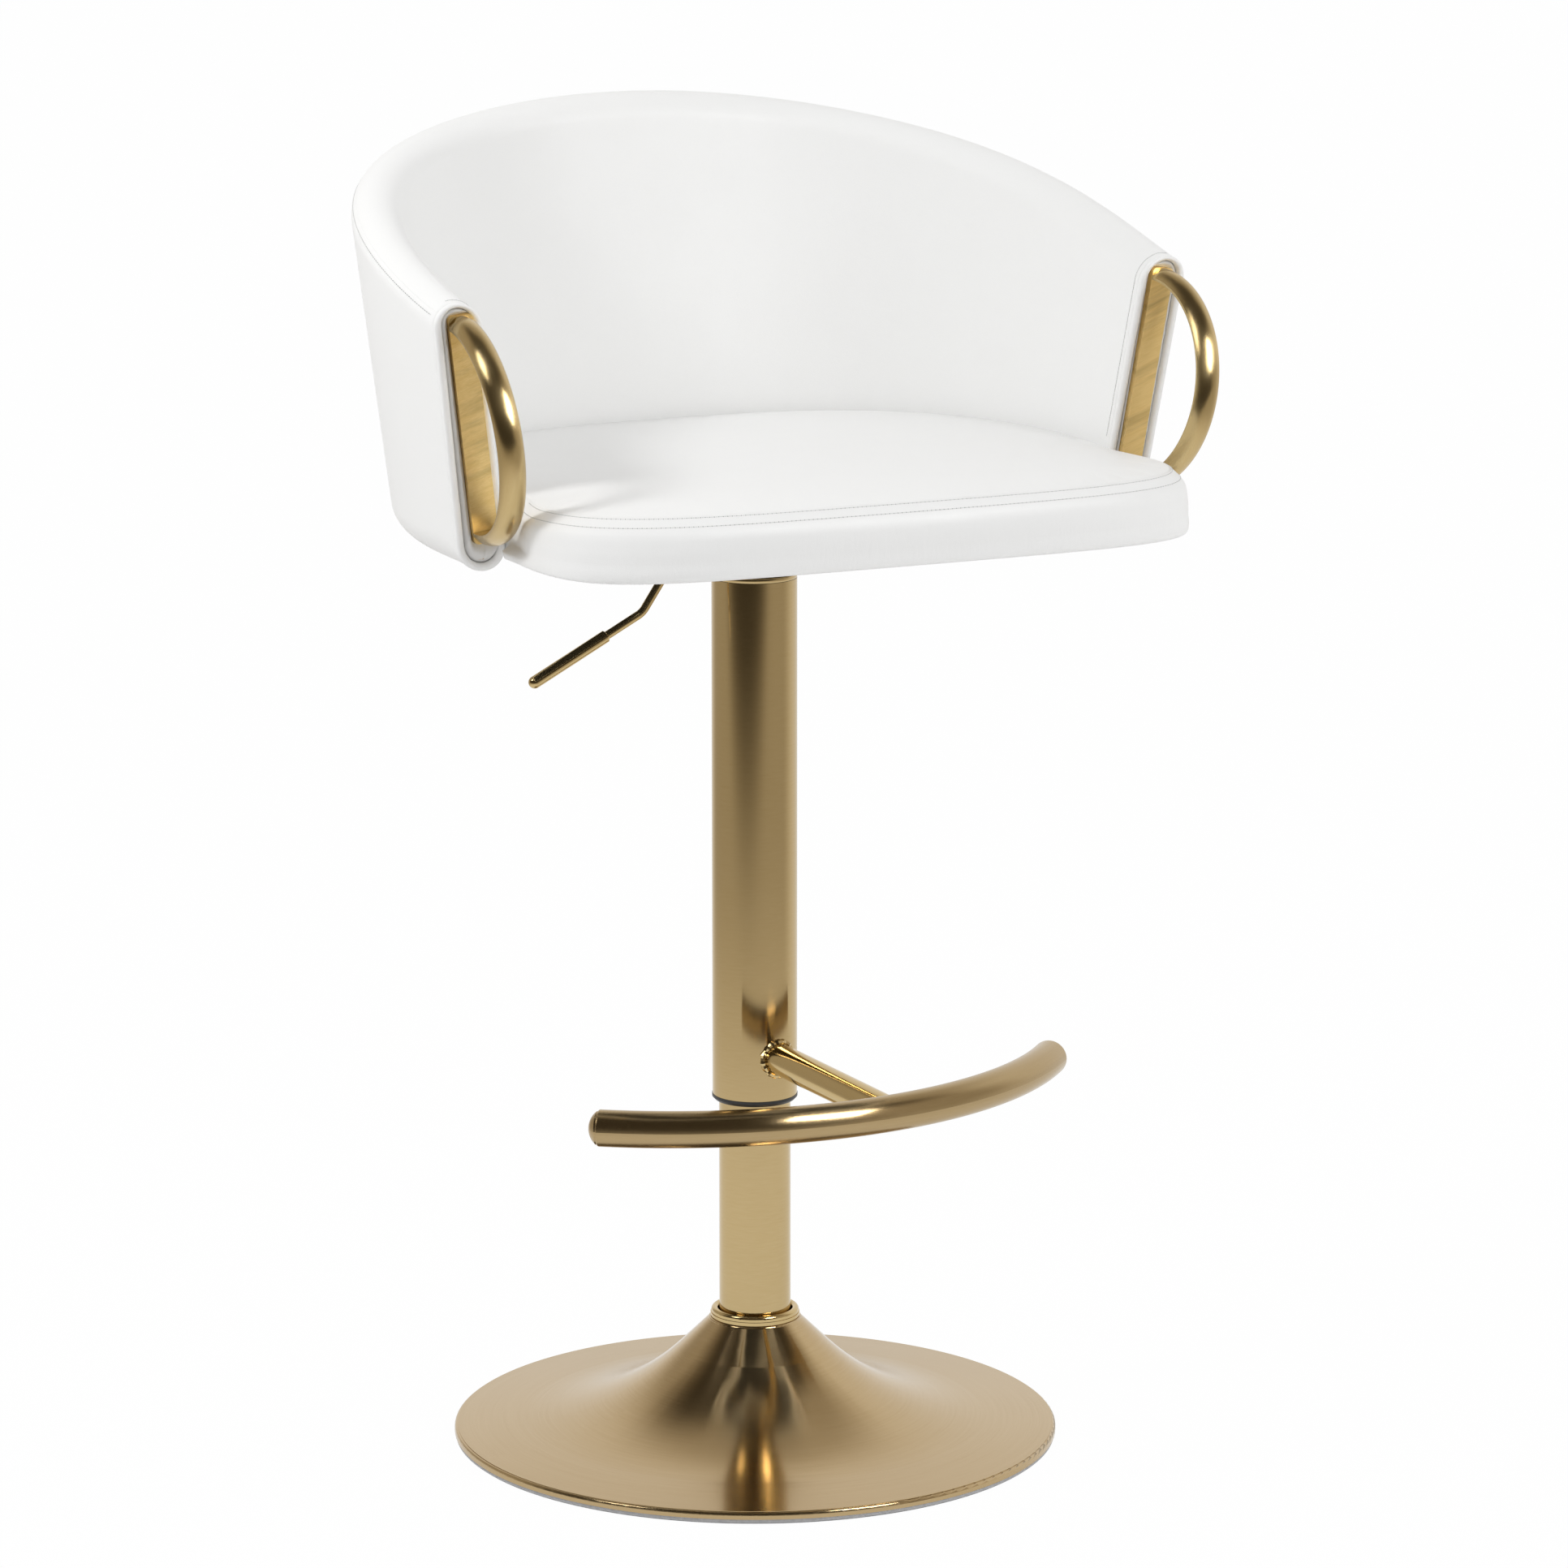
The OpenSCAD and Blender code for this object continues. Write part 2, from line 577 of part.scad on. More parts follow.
// lengths up the wall from the reference height, along its slope
slope_k = sqrt(1 + lean * lean + rake * rake);
function up(z) = (z - z_ref) * slope_k;
module stadium(r, rise = 0) {
    z0 = up(back_z0) + half_t;
    z1 = up(rim_arm) - half_t + rise;
    translate([-r, z0]) square([2 * r, z1 - z0]);
    translate([0, z0]) circle(r = r);
    translate([0, z1]) circle(r = r);
}
module stadium_ring(s) at_arm(s) translate([0, trim_l, 0]) rotate([90, 0, 0])
    linear_extrude(trim_l) difference() {
        stadium(half_t);
        stadium(slot_w, 2.4);
    }
module arm_trim_left() color(leather) stadium_ring(-1);
module arm_trim_right() color(leather) stadium_ring(1);

module post_shape() let (w = post_w - 0.8, z0 = up(back_z0) + half_t) {
    translate([-w, z0]) square([2 * w, up(rim_arm) - half_t - 1 - z0]);
    translate([0, z0]) circle(r = w, $fn = 48);
}
module arm_post(s) color(ply) difference() {
    at_arm(s) translate([0, trim_l + post_l - 1.9, 0]) rotate([90, 0, 0])
        linear_extrude(trim_l + post_l - 2.1) post_shape();
    at_handle(s) translate([-60, -60 + plate_t, -150]) cube([120, 60, 300]);
    at_handle(s) studs(4 + fit, plate_t - 1, plate_t + 16);
    at_arm(s) dowels(fit);
}
stud_z = 52;
module studs(r, y0, y1) for (k = [-1, 1]) translate([0, y0, k * stud_z])
    rotate([-90, 0, 0]) cylinder(r = r, h = y1 - y0, $fn = 32);
module dowels(c) for (k = [-1, 0, 1]) translate([0.2, trim_l + post_l - 12, k * 55])
    rotate([-90, 0, 0]) cylinder(r = 2.5 + c, h = 26, $fn = 32);
module arm_post_left() arm_post(-1);
module arm_post_right() arm_post(1);
module post_dowels() color(ply) at_arms() translate([0, 0.5, 0]) for (k = [-1, 0, 1])
    translate([0.2, trim_l + post_l - 12, k * 55]) rotate([-90, 0, 0])
        cylinder(r = 2.5, h = 25, $fn = 32);
module stud_inserts() color([0.75, 0.6, 0.3]) for (s = [-1, 1]) at_handle(s) difference() {
    studs(4, plate_t + 0.1, plate_t + 15);
    studs(2.5 + fit, plate_t - 1, plate_t + 16);
}
module handle_studs() color(steel) for (s = [-1, 1]) at_handle(s)
    studs(2.5, plate_t, plate_t + 14);

// ------------------------------------------------------------- handles
plate_w = handle_w - 0.8;
plate_r = 3.6;                                  // corners of the plate
module handle_plate(s) color(gold) at_handle(s) translate([0, plate_t, 0]) rotate([90, 0, 0])
    linear_extrude(plate_t) {
        square([plate_w - 2 * plate_r, 2 * arch_r], center = true);
        square([plate_w, 2 * (arch_r - plate_r)], center = true);
        for (i = [-1, 1], k = [-1, 1]) translate([i * (plate_w / 2 - plate_r), k * (arch_r - plate_r)])
            circle(r = plate_r, $fn = 48);
    }
module arch_profile() {
    flat = 1.6;
    rise = arch_h - flat;
    half = handle_w / 2;
    cr = (half * half + rise * rise) / (2 * rise);
    translate([arch_r - arch_h, 0]) {
        translate([0, -half]) square([flat - 0.3, handle_w]);
        intersection() {
            translate([arch_h - cr, 0]) circle(r = cr, $fn = 128);
            translate([flat - 0.6, -half]) square([arch_h, handle_w]);
        }
    }
}
module handle_arch(s) color(gold) at_handle(s) rotate([0, -90, 0]) rotate([0, 0, 180])
    rotate_extrude(angle = 180, $fn = 180) arch_profile();
module handle_plate_left() handle_plate(-1);
module handle_plate_right() handle_plate(1);
module handle_arch_left() handle_arch(-1);
module handle_arch_right() handle_arch(1);

// ------------------------------------------------------------- seat
seat_c = [0, -40];
cush_o = -half_t - 0.5;
function seat_rear(z) = [for (i = [0:26]) let (p = pt(i / 26, cush_o, z)) [p[0], p[1]]];
function seat_e(z) = seat_n_low + (seat_n - seat_n_low)
    * max(0, min(1, (z - board_z - 4) / (seam_z - board_z - 4)));
function ease(x) = x < 0 ? 0 : x > 1 ? 1 : x * x * (3 - 2 * x);
// below the handles the cushion spreads at once, beside them it keeps clear
function seat_fore(z) = let (p = pt(1, cush_o, z), d = seat_front + p[1], n = seat_e(z),
    run_y = z < board_z + 6 ? 16 : 82)
    [for (i = [1:23]) let (a = 7.5 * i, c = cos(a), q = pow(pow(abs(c), n) + pow(sin(a), n), 1 / n),
        k = c / q, g = sin(a) / q, x = (p[0] + seat_flare * ease(g * d / run_y)) * k,
        y = p[1] - g * d + seat_bow * k * k * pow(g, 4) - seat_c[1], w = -seat_twist * ease(g * d / 82))
        [x * cos(w) - y * sin(w), seat_c[1] + x * sin(w) + y * cos(w)]];
function seat_line(z) = concat(seat_rear(z), seat_fore(z));
function seat_ring(f, z, zl) = [for (p = seat_line(zl)) let (q = seat_c + f * (p - seat_c)) [q[0], q[1], z]];
board_f = 0.93;
cover_f = 0.87;
module seat_plan(f) polygon([for (p = seat_line(board_z)) seat_c + f * (p - seat_c)]);
cush_z = board_z - 0.6;
module seat_cushion() color(leather) difference() {
    loft([for (r = [[0.955, cush_z], [0.985, cush_z + 1.4], [0.998, cush_z + 5], [1, cush_z + 9.4],
        [1, (cush_z + seam_z) / 2], [0.997, seam_z - 8], [0.985, seam_z - 1.5], [0.965, seam_z + 1],
        [0.9, seam_z + crown * 0.35], [0.75, seam_z + crown * 0.68],
        [0.5, seam_z + crown * 0.9], [0.2, seam_z + crown]])
        seat_ring(r[0], r[1], min(r[1], seam_z))]);
    translate([0, 0, board_z - 3]) linear_extrude(board_t + 3.2) seat_plan(board_f + 0.002);
    for (x = [-1, 1], y = [-1, 1]) translate([x * bolt_x, y * bolt_y, board_z + 1])
        cylinder(r = bolt_d / 2 + 8, h = board_t + 1.2);
    at_brackets() translate([-bracket_w / 2 - 0.3, -120, cush_z - 1])
        cube([bracket_w + 0.6, 180, board_z + 0.1 - cush_z + 1]);
}
tee_r = bolt_d / 2 + 1;
module seat_board() color(ply) difference() {
    translate([0, 0, board_z]) linear_extrude(board_t) seat_plan(board_f);
    for (x = [-1, 1], y = [-1, 1]) translate([x * bolt_x, y * bolt_y, board_z - 1])
        cylinder(r = tee_r + fit, h = board_t + 2);
    at_brackets() bracket_board_holes(1.6, 9);
}
cover_t = 1;
cover_z = board_z - mount_t - cover_t;
module dust_cover() color(black) difference() {
    union() {
        translate([0, 0, cover_z]) linear_extrude(cover_t) seat_plan(cover_f);
        translate([0, 0, cover_z]) linear_extrude(mount_t + cover_t) difference() {
            seat_plan(cover_f);
            seat_plan(cover_f - 0.02);
        }
    }
    translate([-mount_w / 2 - 1, -mount_l / 2 - 1, cover_z - 1]) cube([mount_w + 2, mount_l + 2, 9]);
    at_brackets() translate([-bracket_w / 2 - 0.5, -200, board_z - mount_t - 0.01])
        cube([bracket_w + 1, 260, 8]);
    at_brackets() bracket_heads();
}

// steel angles that tie the back to the board
bracket_w = 26;
bracket_t = mount_t;
bracket_v = [0.16, 0.5, 0.84];
leg_in = 66;
leg_top = 688;
// X along the wall, Y outward, Z up; origin on the wall line at height 0
module at_bracket(v) {
    u = uu(v);
    p = half_pt(u);
    t = half_tan(u);
    m = pt(v, 0, z_ref);
    a = atan2(-t[0], t[1]);
    mirror([sg(v) < 0 ? 1 : 0, 0, 0]) translate([p[0], p[1], 0]) rotate(a - 90) children();
}
module at_brackets() for (v = bracket_v) at_bracket(v) children();
function face_y(z) = ply_in + lean * (z - z_ref) - 0.5;
module back_brackets() color(steel) at_brackets() difference() {
    translate([-bracket_w / 2, 0, 0]) rotate([90, 0, 90]) linear_extrude(bracket_w) polygon([
        [face_y(board_z) - leg_in, board_z - bracket_t], [face_y(board_z - bracket_t), board_z - bracket_t],
        [face_y(leg_top), leg_top], [face_y(leg_top) - bracket_t, leg_top],
        [face_y(board_z) - bracket_t, board_z], [face_y(board_z) - leg_in, board_z]]);
    bracket_holes(2.2, 10);
    bracket_board_holes(2.2, 9);
}
module bracket_holes(r, l) for (x = [-7, 7]) translate([x, face_y(680) - 4, 680])
    rotate([-90 - atan(lean), 0, 0]) cylinder(r = r, h = l, $fn = 24);
module bracket_board_holes(r, l) for (y = [-56, -38])
    translate([0, face_y(board_z) + y, board_z - 4]) cylinder(r = r, h = l + 4, $fn = 24);
module bracket_heads() for (y = [-56, -38])
    translate([0, face_y(board_z) + y, board_z - bracket_t - 2.4]) cylinder(r = 4.6, h = 3, $fn = 32);
module wood_screw(l) {
    cylinder(r = 1.5, h = l, $fn = 24);
    translate([0, 0, -1.8]) cylinder(r1 = 4, r2 = 3.6, h = 1.8, $fn = 32);
}
module bracket_screws() color(steel) at_brackets() {
    for (x = [-7, 7]) translate([x, face_y(680) - bracket_t, 680])
        rotate([-90 - atan(lean), 0, 0]) translate([0, 0, -0.15]) wood_screw(9.5);
    for (y = [-56, -38]) translate([0, face_y(board_z) + y, board_z - bracket_t]) wood_screw(10);
}

// ------------------------------------------------------- seat mechanism
plate_z = board_z - mount_t;
module seat_plate() color(steel) difference() {
    translate([0, 0, plate_z]) linear_extrude(mount_t) union() {
        square([mount_w - 24, mount_l], center = true);
        square([mount_w, mount_l - 24], center = true);
        for (x = [-1, 1], y = [-1, 1]) translate([x * (mount_w / 2 - 12), y * (mount_l / 2 - 12)])
            circle(r = 12);
    }
    for (x = [-1, 1], y = [-1, 1]) translate([x * bolt_x, y * bolt_y, plate_z - 1])
        cylinder(r = bolt_d / 2 + 0.3, h = mount_t + 2, $fn = 48);
}
chan_z = sleeve_top + 3.6;
lever_z = gas_top + pin_out + 0.4 + lever_d / 2;
socket_top = gas_top + pin_out - 2.3;
module lever_channel() color(steel) difference() {
    translate([-chan_l / 2, -chan_w / 2, chan_z]) cube([chan_l, chan_w, plate_z - chan_z]);
    translate([-chan_l / 2 - 1, -chan_w / 2 + chan_t, chan_z + chan_t])
        cube([chan_l + 2, chan_w - 2 * chan_t, 100]);
    translate([0, 0, chan_z - 1]) cylinder(r = socket_r + fit, h = 10);
    translate([-pivot_x, -chan_w, lever_z]) rotate([-90, 0, 0])
        cylinder(r = pivot_r + fit, h = 2 * chan_w, $fn = 48);
}
socket_r = gas_r + 3.5;
module taper_socket() color(steel) difference() {
    translate([0, 0, chan_z]) cylinder(r = socket_r, h = socket_top - chan_z);
    taper(chan_z - 1, socket_top + 1, fit);
}
pivot_r = 2.5;
module lever_pin() color(steel) translate([-pivot_x, -chan_w / 2 - 1.5, lever_z])
    rotate([-90, 0, 0]) cylinder(r = pivot_r, h = chan_w + 3, $fn = 48);
module mount_bolts() color(steel) for (x = [-1, 1], y = [-1, 1])
    translate([x * bolt_x, y * bolt_y, plate_z]) {
        cylinder(r = bolt_d / 2, h = mount_t + board_t, $fn = 48);
        translate([0, 0, -4]) difference() {
            cylinder(r = bolt_d * 0.9, h = 4, $fn = 6);
            translate([0, 0, -1]) cylinder(r = bolt_d / 2 - 0.4, h = 2, $fn = 24);
        }
    }
module tee_nuts() color(steel) for (x = [-1, 1], y = [-1, 1])
    translate([x * bolt_x, y * bolt_y, board_z]) difference() {
        union() {
            translate([0, 0, board_t - 9]) cylinder(r = tee_r, h = 9, $fn = 48);
            translate([0, 0, board_t]) cylinder(r = bolt_d / 2 + 6, h = 1.2, $fn = 48);
        }
        translate([0, 0, -1]) cylinder(r = bolt_d / 2 + fit, h = board_t + 4, $fn = 48);
    }

// ------------------------------------------------------------- lever
// path in the XZ plane: under the board, down past the seat edge, out to the grip
knee = [-87.2, sleeve_top - 18];
grip_a = 26.8;                                   // slope of the grip
grip_p = knee + 31 * [-cos(grip_a), -sin(grip_a)];
lever_pts = [[5, lever_z], [-53.5, lever_z], knee,
    grip_p + (grip_l * 0.6) * [-cos(grip_a), -sin(grip_a)]];
bend_r = 14;
function unit(v) = v / norm(v);
function turn(i) = let (a = unit(lever_pts[i] - lever_pts[i - 1]), b = unit(lever_pts[i + 1] - lever_pts[i]))
    atan2(a[0] * b[1] - a[1] * b[0], a * b);
function cut(i) = (i == 0 || i == 3) ? 0 : bend_r * tan(abs(turn(i)) / 2);
module lever_path(r) rotate([90, 0, 0]) {
    for (i = [0:2]) {
        d = unit(lever_pts[i + 1] - lever_pts[i]);
        a = lever_pts[i] + d * cut(i);
        b = lever_pts[i + 1] - d * cut(i + 1);
        e0 = i == 0 ? 0 : 0.4;
        translate([a[0] - d[0] * e0, a[1] - d[1] * e0, 0]) rotate([0, 90, atan2(d[1], d[0])])
            cylinder(r = r, h = norm(b - a) + e0 + (i == 2 ? 0 : 0.4), $fn = 48);
    }
    for (i = [1, 2]) {
        d = unit(lever_pts[i] - lever_pts[i - 1]);
        t = turn(i);
        n = [-d[1], d[0]] * sign(t);
        c = lever_pts[i] - d * cut(i) + n * bend_r;
        a0 = atan2(-n[1], -n[0]);
        translate([c[0], c[1], 0]) rotate(t > 0 ? a0 : a0 + t)
            rotate_extrude(angle = abs(t), $fn = 96) translate([bend_r, 0]) circle(r = r - 0.03, $fn = 48);
    }
}
module lever_rod() color(gold) difference() {
    union() {
        lever_path(lever_d / 2);
        translate([-pivot_x, 0, lever_z]) rotate([90, 0, 0])
            cylinder(r = lever_d / 2 + 2, h = 22, center = true, $fn = 64);
    }
    translate([-pivot_x, 0, lever_z]) rotate([90, 0, 0])
        cylinder(r = pivot_r + run, h = 40, center = true, $fn = 48);
}
module lever_grip() color(gold) translate([grip_p[0], 0, grip_p[1]])
    rotate([0, -90 - grip_a, 0]) difference() {
        rotate_extrude($fn = 64) {
            polygon([[0, 0], [grip_d / 2 - 0.8, 0], [grip_d / 2, 0.8],
                [grip_d / 2, grip_l - grip_d / 2], [0, grip_l - grip_d / 2]]);
            intersection() {
                translate([0, grip_l - grip_d / 2]) circle(d = grip_d, $fn = 64);
                translate([0, grip_l - grip_d]) square([grip_d, grip_d]);
            }
        }
        translate([0, 0, -1]) cylinder(r = lever_d / 2 + fit, h = grip_l * 0.6 + 1.2, $fn = 48);
    }

floor_ring();
base_weight();
base_hub();
base_shell();
base_collar();
stand_tube();
tube_foot();
guide_bush();
thrust_race_lower();
thrust_cage();
thrust_race_upper();
piston_rod();
piston();
rod_clip();
gas_cylinder();
rod_guide();
outer_tube();
tube_top_disc();
tube_end_ring();
footrest_strut();
strut_weld();
footrest_bar();
footrest_caps();
seat_plate();
lever_channel();
taper_socket();
lever_pin();
mount_bolts();
tee_nuts();
seat_board();
dust_cover();
seat_cushion();
back_brackets();
bracket_screws();
back_core();
arm_post_left();
arm_post_right();
post_dowels();
stud_inserts();
handle_studs();
handle_plate_left();
handle_plate_right();
handle_arch_left();
handle_arch_right();
inner_upholstery();
outer_upholstery();
arm_trim_left();
arm_trim_right();
lever_rod();
lever_grip();
release_pin();
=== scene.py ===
# Bar stool with footrest: the visual model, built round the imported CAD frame.
# +Z is up, the front faces -Y, the column stands on Z. Shapes are worked out in millimetres.
import math
import bmesh
import bpy
import numpy as np
from mathutils import Matrix, Vector, noise


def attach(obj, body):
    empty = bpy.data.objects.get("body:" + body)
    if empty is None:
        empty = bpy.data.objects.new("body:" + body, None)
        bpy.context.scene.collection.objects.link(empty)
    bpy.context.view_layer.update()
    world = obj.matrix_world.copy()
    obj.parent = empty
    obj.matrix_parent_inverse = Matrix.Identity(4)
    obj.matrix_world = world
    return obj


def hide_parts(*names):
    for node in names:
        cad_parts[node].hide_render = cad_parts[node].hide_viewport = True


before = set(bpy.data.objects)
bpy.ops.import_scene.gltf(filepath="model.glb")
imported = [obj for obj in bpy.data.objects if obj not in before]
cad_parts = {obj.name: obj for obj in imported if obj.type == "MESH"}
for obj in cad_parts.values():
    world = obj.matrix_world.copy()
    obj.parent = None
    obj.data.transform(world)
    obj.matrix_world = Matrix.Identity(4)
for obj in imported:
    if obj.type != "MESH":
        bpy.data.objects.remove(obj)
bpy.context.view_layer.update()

scene = bpy.context.scene
MM = 0.001
SIDES = ((-1, "left"), (1, "right"))


# ------------------------------------------------------------------ shader nodes
class Nodes:
    """Small helper that adds and links the nodes of one tree."""

    def __init__(self, tree):
        self.tree = tree
        tree.nodes.clear()

    def add(self, kind, **props):
        n = self.tree.nodes.new(kind)
        for k, v in props.items():
            setattr(n, k, v)
        return n

    def link(self, a, b):
        self.tree.links.new(a, b)

    def put(self, socket, v):
        if isinstance(v, bpy.types.NodeSocket):
            self.link(v, socket)
        else:
            socket.default_value = v

    def math(self, op, a, b=0.0, c=0.0):
        n = self.add("ShaderNodeMath", operation=op)
        for i, v in enumerate((a, b, c)):
            self.put(n.inputs[i], v)
        return n.outputs[0]

    def plus(self, a, b):
        return self.math("ADD", a, b)

    def minus(self, a, b):
        return self.math("SUBTRACT", a, b)

    def times(self, a, b):
        return self.math("MULTIPLY", a, b)

    def vmath(self, op, a, b=(0, 0, 0), out=0):
        n = self.add("ShaderNodeVectorMath", operation=op)
        self.put(n.inputs[0], a)
        self.put(n.inputs["Scale"] if op == "SCALE" else n.inputs[1], b)
        return n.outputs[out]

    def dot(self, a, b):
        return self.vmath("DOT_PRODUCT", a, b, "Value")

    def obj(self):
        return self.add("ShaderNodeTexCoord").outputs["Object"]

    def noise(self, vec, scale, detail=3.0, rough=0.55, dist=0.0):
        n = self.add("ShaderNodeTexNoise")
        self.put(n.inputs["Vector"], vec)
        n.inputs["Scale"].default_value = scale
        n.inputs["Detail"].default_value = detail
        n.inputs["Roughness"].default_value = rough
        n.inputs["Distortion"].default_value = dist
        return n.outputs[0]

    def cells(self, vec, scale):
        """Distance to the nearest edge between random cells."""
        n = self.add("ShaderNodeTexVoronoi", feature="DISTANCE_TO_EDGE")
        self.put(n.inputs["Vector"], vec)
        n.inputs["Scale"].default_value = scale
        return n.outputs["Distance"]

    def span(self, v, a, b, lo, hi, kind="LINEAR"):
        n = self.add("ShaderNodeMapRange", interpolation_type=kind)
        self.put(n.inputs["Value"], v)
        for k, x in (("From Min", a), ("From Max", b), ("To Min", lo), ("To Max", hi)):
            n.inputs[k].default_value = x
        return n.outputs[0]

    def fall(self, v, a, b):
        """1 below a, 0 above b, smooth between."""
        return self.span(v, a, b, 1.0, 0.0, "SMOOTHSTEP")

    def mix(self, f, a, b):
        n = self.add("ShaderNodeMix", data_type="RGBA")
        self.put(n.inputs["Factor"], f)
        self.put(n.inputs["A"], a)
        self.put(n.inputs["B"], b)
        return n.outputs["Result"]

    def bump(self, height, strength, dist, normal=None):
        n = self.add("ShaderNodeBump")
        self.put(n.inputs["Height"], height)
        n.inputs["Strength"].default_value = strength
        n.inputs["Distance"].default_value = dist
        if normal is not None:
            self.put(n.inputs["Normal"], normal)
        return n.outputs[0]

    def xyz(self, vec):
        n = self.add("ShaderNodeSeparateXYZ")
        self.put(n.inputs[0], vec)
        return n.outputs[0], n.outputs[1], n.outputs[2]

    def vec(self, x, y, z):
        n = self.add("ShaderNodeCombineXYZ")
        for i, v in enumerate((x, y, z)):
            self.put(n.inputs[i], v)
        return n.outputs[0]

    def stretched(self, values, factors):
        """Vector of three values, each times its own factor."""
        return self.vec(*(self.times(v, k) for v, k in zip(values, factors)))


class Surface(Nodes):
    """A new material with one Principled shader."""

    def __init__(self, name):
        self.mat = bpy.data.materials.new(name)
        self.mat.use_nodes = True
        super().__init__(self.mat.node_tree)
        self.out = self.add("ShaderNodeOutputMaterial")
        self.bsdf = self.add("ShaderNodeBsdfPrincipled")
        self.link(self.bsdf.outputs[0], self.out.inputs["Surface"])

    def set(self, **inputs):
        for k, v in inputs.items():
            self.put(self.bsdf.inputs[k.replace("_", " ")], v)
        return self.mat


def rgb(r, g, b):
    return (r, g, b, 1.0)


def toned(colour, k):
    """The colour times k."""
    return rgb(*(c * k for c in colour[:3]))


# ------------------------------------------------------------------ materials
GOLD_LIGHT, GOLD_DEEP = (0.610, 0.470, 0.242), (0.530, 0.390, 0.175)
# brush lines, fine and wide: noise scale across them and along them
BRUSH = {"turned": ((3200.0, 3.0), (700.0, 2.0)),
         "arch": ((2400.0, 7.0), (300.0, 3.0)),
         "along": ((2400.0, 45.0), (350.0, 20.0))}
NECK_R, FLAT_R = 0.05, 0.10                          # spun disc: smoother inside the first radius, metres
NECK_ROUGH = 0.55                                    # share of the roughness left there


def polar(m, a, b):
    """Distance and angle in the plane of two coordinates."""
    r = m.math("SQRT", m.plus(m.times(a, a), m.times(b, b)))
    return r, m.math("ARCTAN2", b, a)


def gold(name, kind, centre=(0, 0, 0), rough=0.18, aniso=0.4, grain=1.0, axis=(1, 0, 0), ring=0.0,
         wear=0.3, painted_shading=(1, 1, 1), stain=0.0):
    """Satin gold plate on brushed steel. kind: turned round Z, arch round X, or along an axis. The colour
    factors lighten or darken each part's gold for how light falls on it: painted light and shade.
    """
    m = Surface(name)
    # the colour factors make lit and shaded copies of the gold: painted light and shade
    light, deep = (rgb(*(v * k for v, k in zip(c, painted_shading))) for c in (GOLD_LIGHT, GOLD_DEEP))
    if kind == "along":
        o = m.obj()
        d = m.dot(o, axis)
        flat = m.vmath("SUBTRACT", o, m.vmath("SCALE", m.vec(*axis), d))
        fine, wide = (m.vmath("ADD", m.vmath("SCALE", flat, across),
                              m.vmath("SCALE", m.vec(*axis), m.times(d, along)))
                      for across, along in BRUSH[kind])
        tangent = m.vec(*axis)
    else:
        x, y, z = m.xyz(m.vmath("SUBTRACT", m.obj(), centre))
        if kind == "turned":
            (r, a), level = polar(m, x, y), z
            tangent = m.vec(m.times(y, -1.0), x, 0.0)
        else:
            (r, a), level = polar(m, y, z), x
            tangent = m.vec(0.0, m.times(z, -1.0), y)
        fine, wide = (m.stretched((r, level, a), (across, across, along)) for across, along in BRUSH[kind])
        tangent = m.vmath("NORMALIZE", tangent)
    f = m.noise(fine, 1.0, 3.0, 0.6)
    w = m.noise(wide, 1.0, 2.0, 0.5)
    cloud = m.noise(m.obj(), 9.0, 3.0, 0.55)
    streak = m.plus(m.times(f, 0.6), m.times(w, 0.4))
    colour = m.mix(m.span(streak, 0.5 - 0.25 / grain, 0.5 + 0.25 / grain, 0.0, 1.0), deep, light)
    colour = m.mix(m.span(cloud, 0.35, 0.7, 0.0, wear), colour, light)
    if stain:                                        # dark streaks across a scratched plate
        streaks = m.span(m.noise(wide, 0.22, 4.0, 0.6), 0.50, 0.68, 0.0, stain)
        colour = m.mix(streaks, colour, toned(deep, 0.35))
    swing = 0.015 * grain
    roughness = m.plus(m.span(f, 0.3, 0.7, rough - swing, rough + swing),
                       m.span(cloud, 0.3, 0.7, -0.012, 0.015))
    normal = m.bump(f, 0.04 * grain, 0.00005)
    if ring:                                         # spun disc: finer on its neck than on the flat
        normal = m.bump(w, ring, 0.0002, normal)
        roughness = m.times(roughness, m.span(r, NECK_R, FLAT_R, NECK_ROUGH, 1.0))
    return m.set(Base_Color=colour, Metallic=1.0, Roughness=roughness, Anisotropic=aniso,
                 Anisotropic_Rotation=0.25, Normal=normal, Tangent=tangent)


def leather(name, base=(0.905, 0.905, 0.897), grain=1.0, wrinkle=0.0, rough=0.50):
    """Leather with pores, fine grain, faint clouds and, if asked for, upright wrinkles."""
    m = Surface(name)
    o = m.obj()
    warp = m.noise(o, 60.0, 2.0)
    p = m.vmath("ADD", o, m.vmath("SCALE", m.vec(warp, warp, warp), 0.004))
    pore = m.span(m.cells(p, 820.0), 0.0, 0.16, 0.0, 1.0, "SMOOTHSTEP")
    fine = m.noise(p, 1500.0, 2.0, 0.6)
    soft = m.noise(o, 34.0, 3.0, 0.5)
    colour = m.mix(m.span(pore, 0.0, 1.0, 0.10, 0.0), rgb(*base), toned(base, 0.88))
    colour = m.mix(m.span(soft, 0.3, 0.7, 0.0, 0.10), colour, toned(base, 0.965))
    normal = m.bump(m.plus(m.times(pore, 0.6), m.times(fine, 0.4)), 0.20 * grain, 0.00010)
    if wrinkle:
        folds = m.noise(m.stretched(m.xyz(o), (210.0, 210.0, 55.0)), 1.0, 3.0, 0.6, 0.6)
        normal = m.bump(folds, 0.25 * wrinkle, 0.0004, normal)
    mottle = m.plus(m.times(fine, 0.5), m.times(soft, 0.5))
    return m.set(Base_Color=colour, Roughness=m.span(mottle, 0.3, 0.7, rough - 0.05, rough + 0.06),
                 Normal=normal, Specular_IOR_Level=0.35, Sheen_Weight=0.06, Sheen_Roughness=0.4)


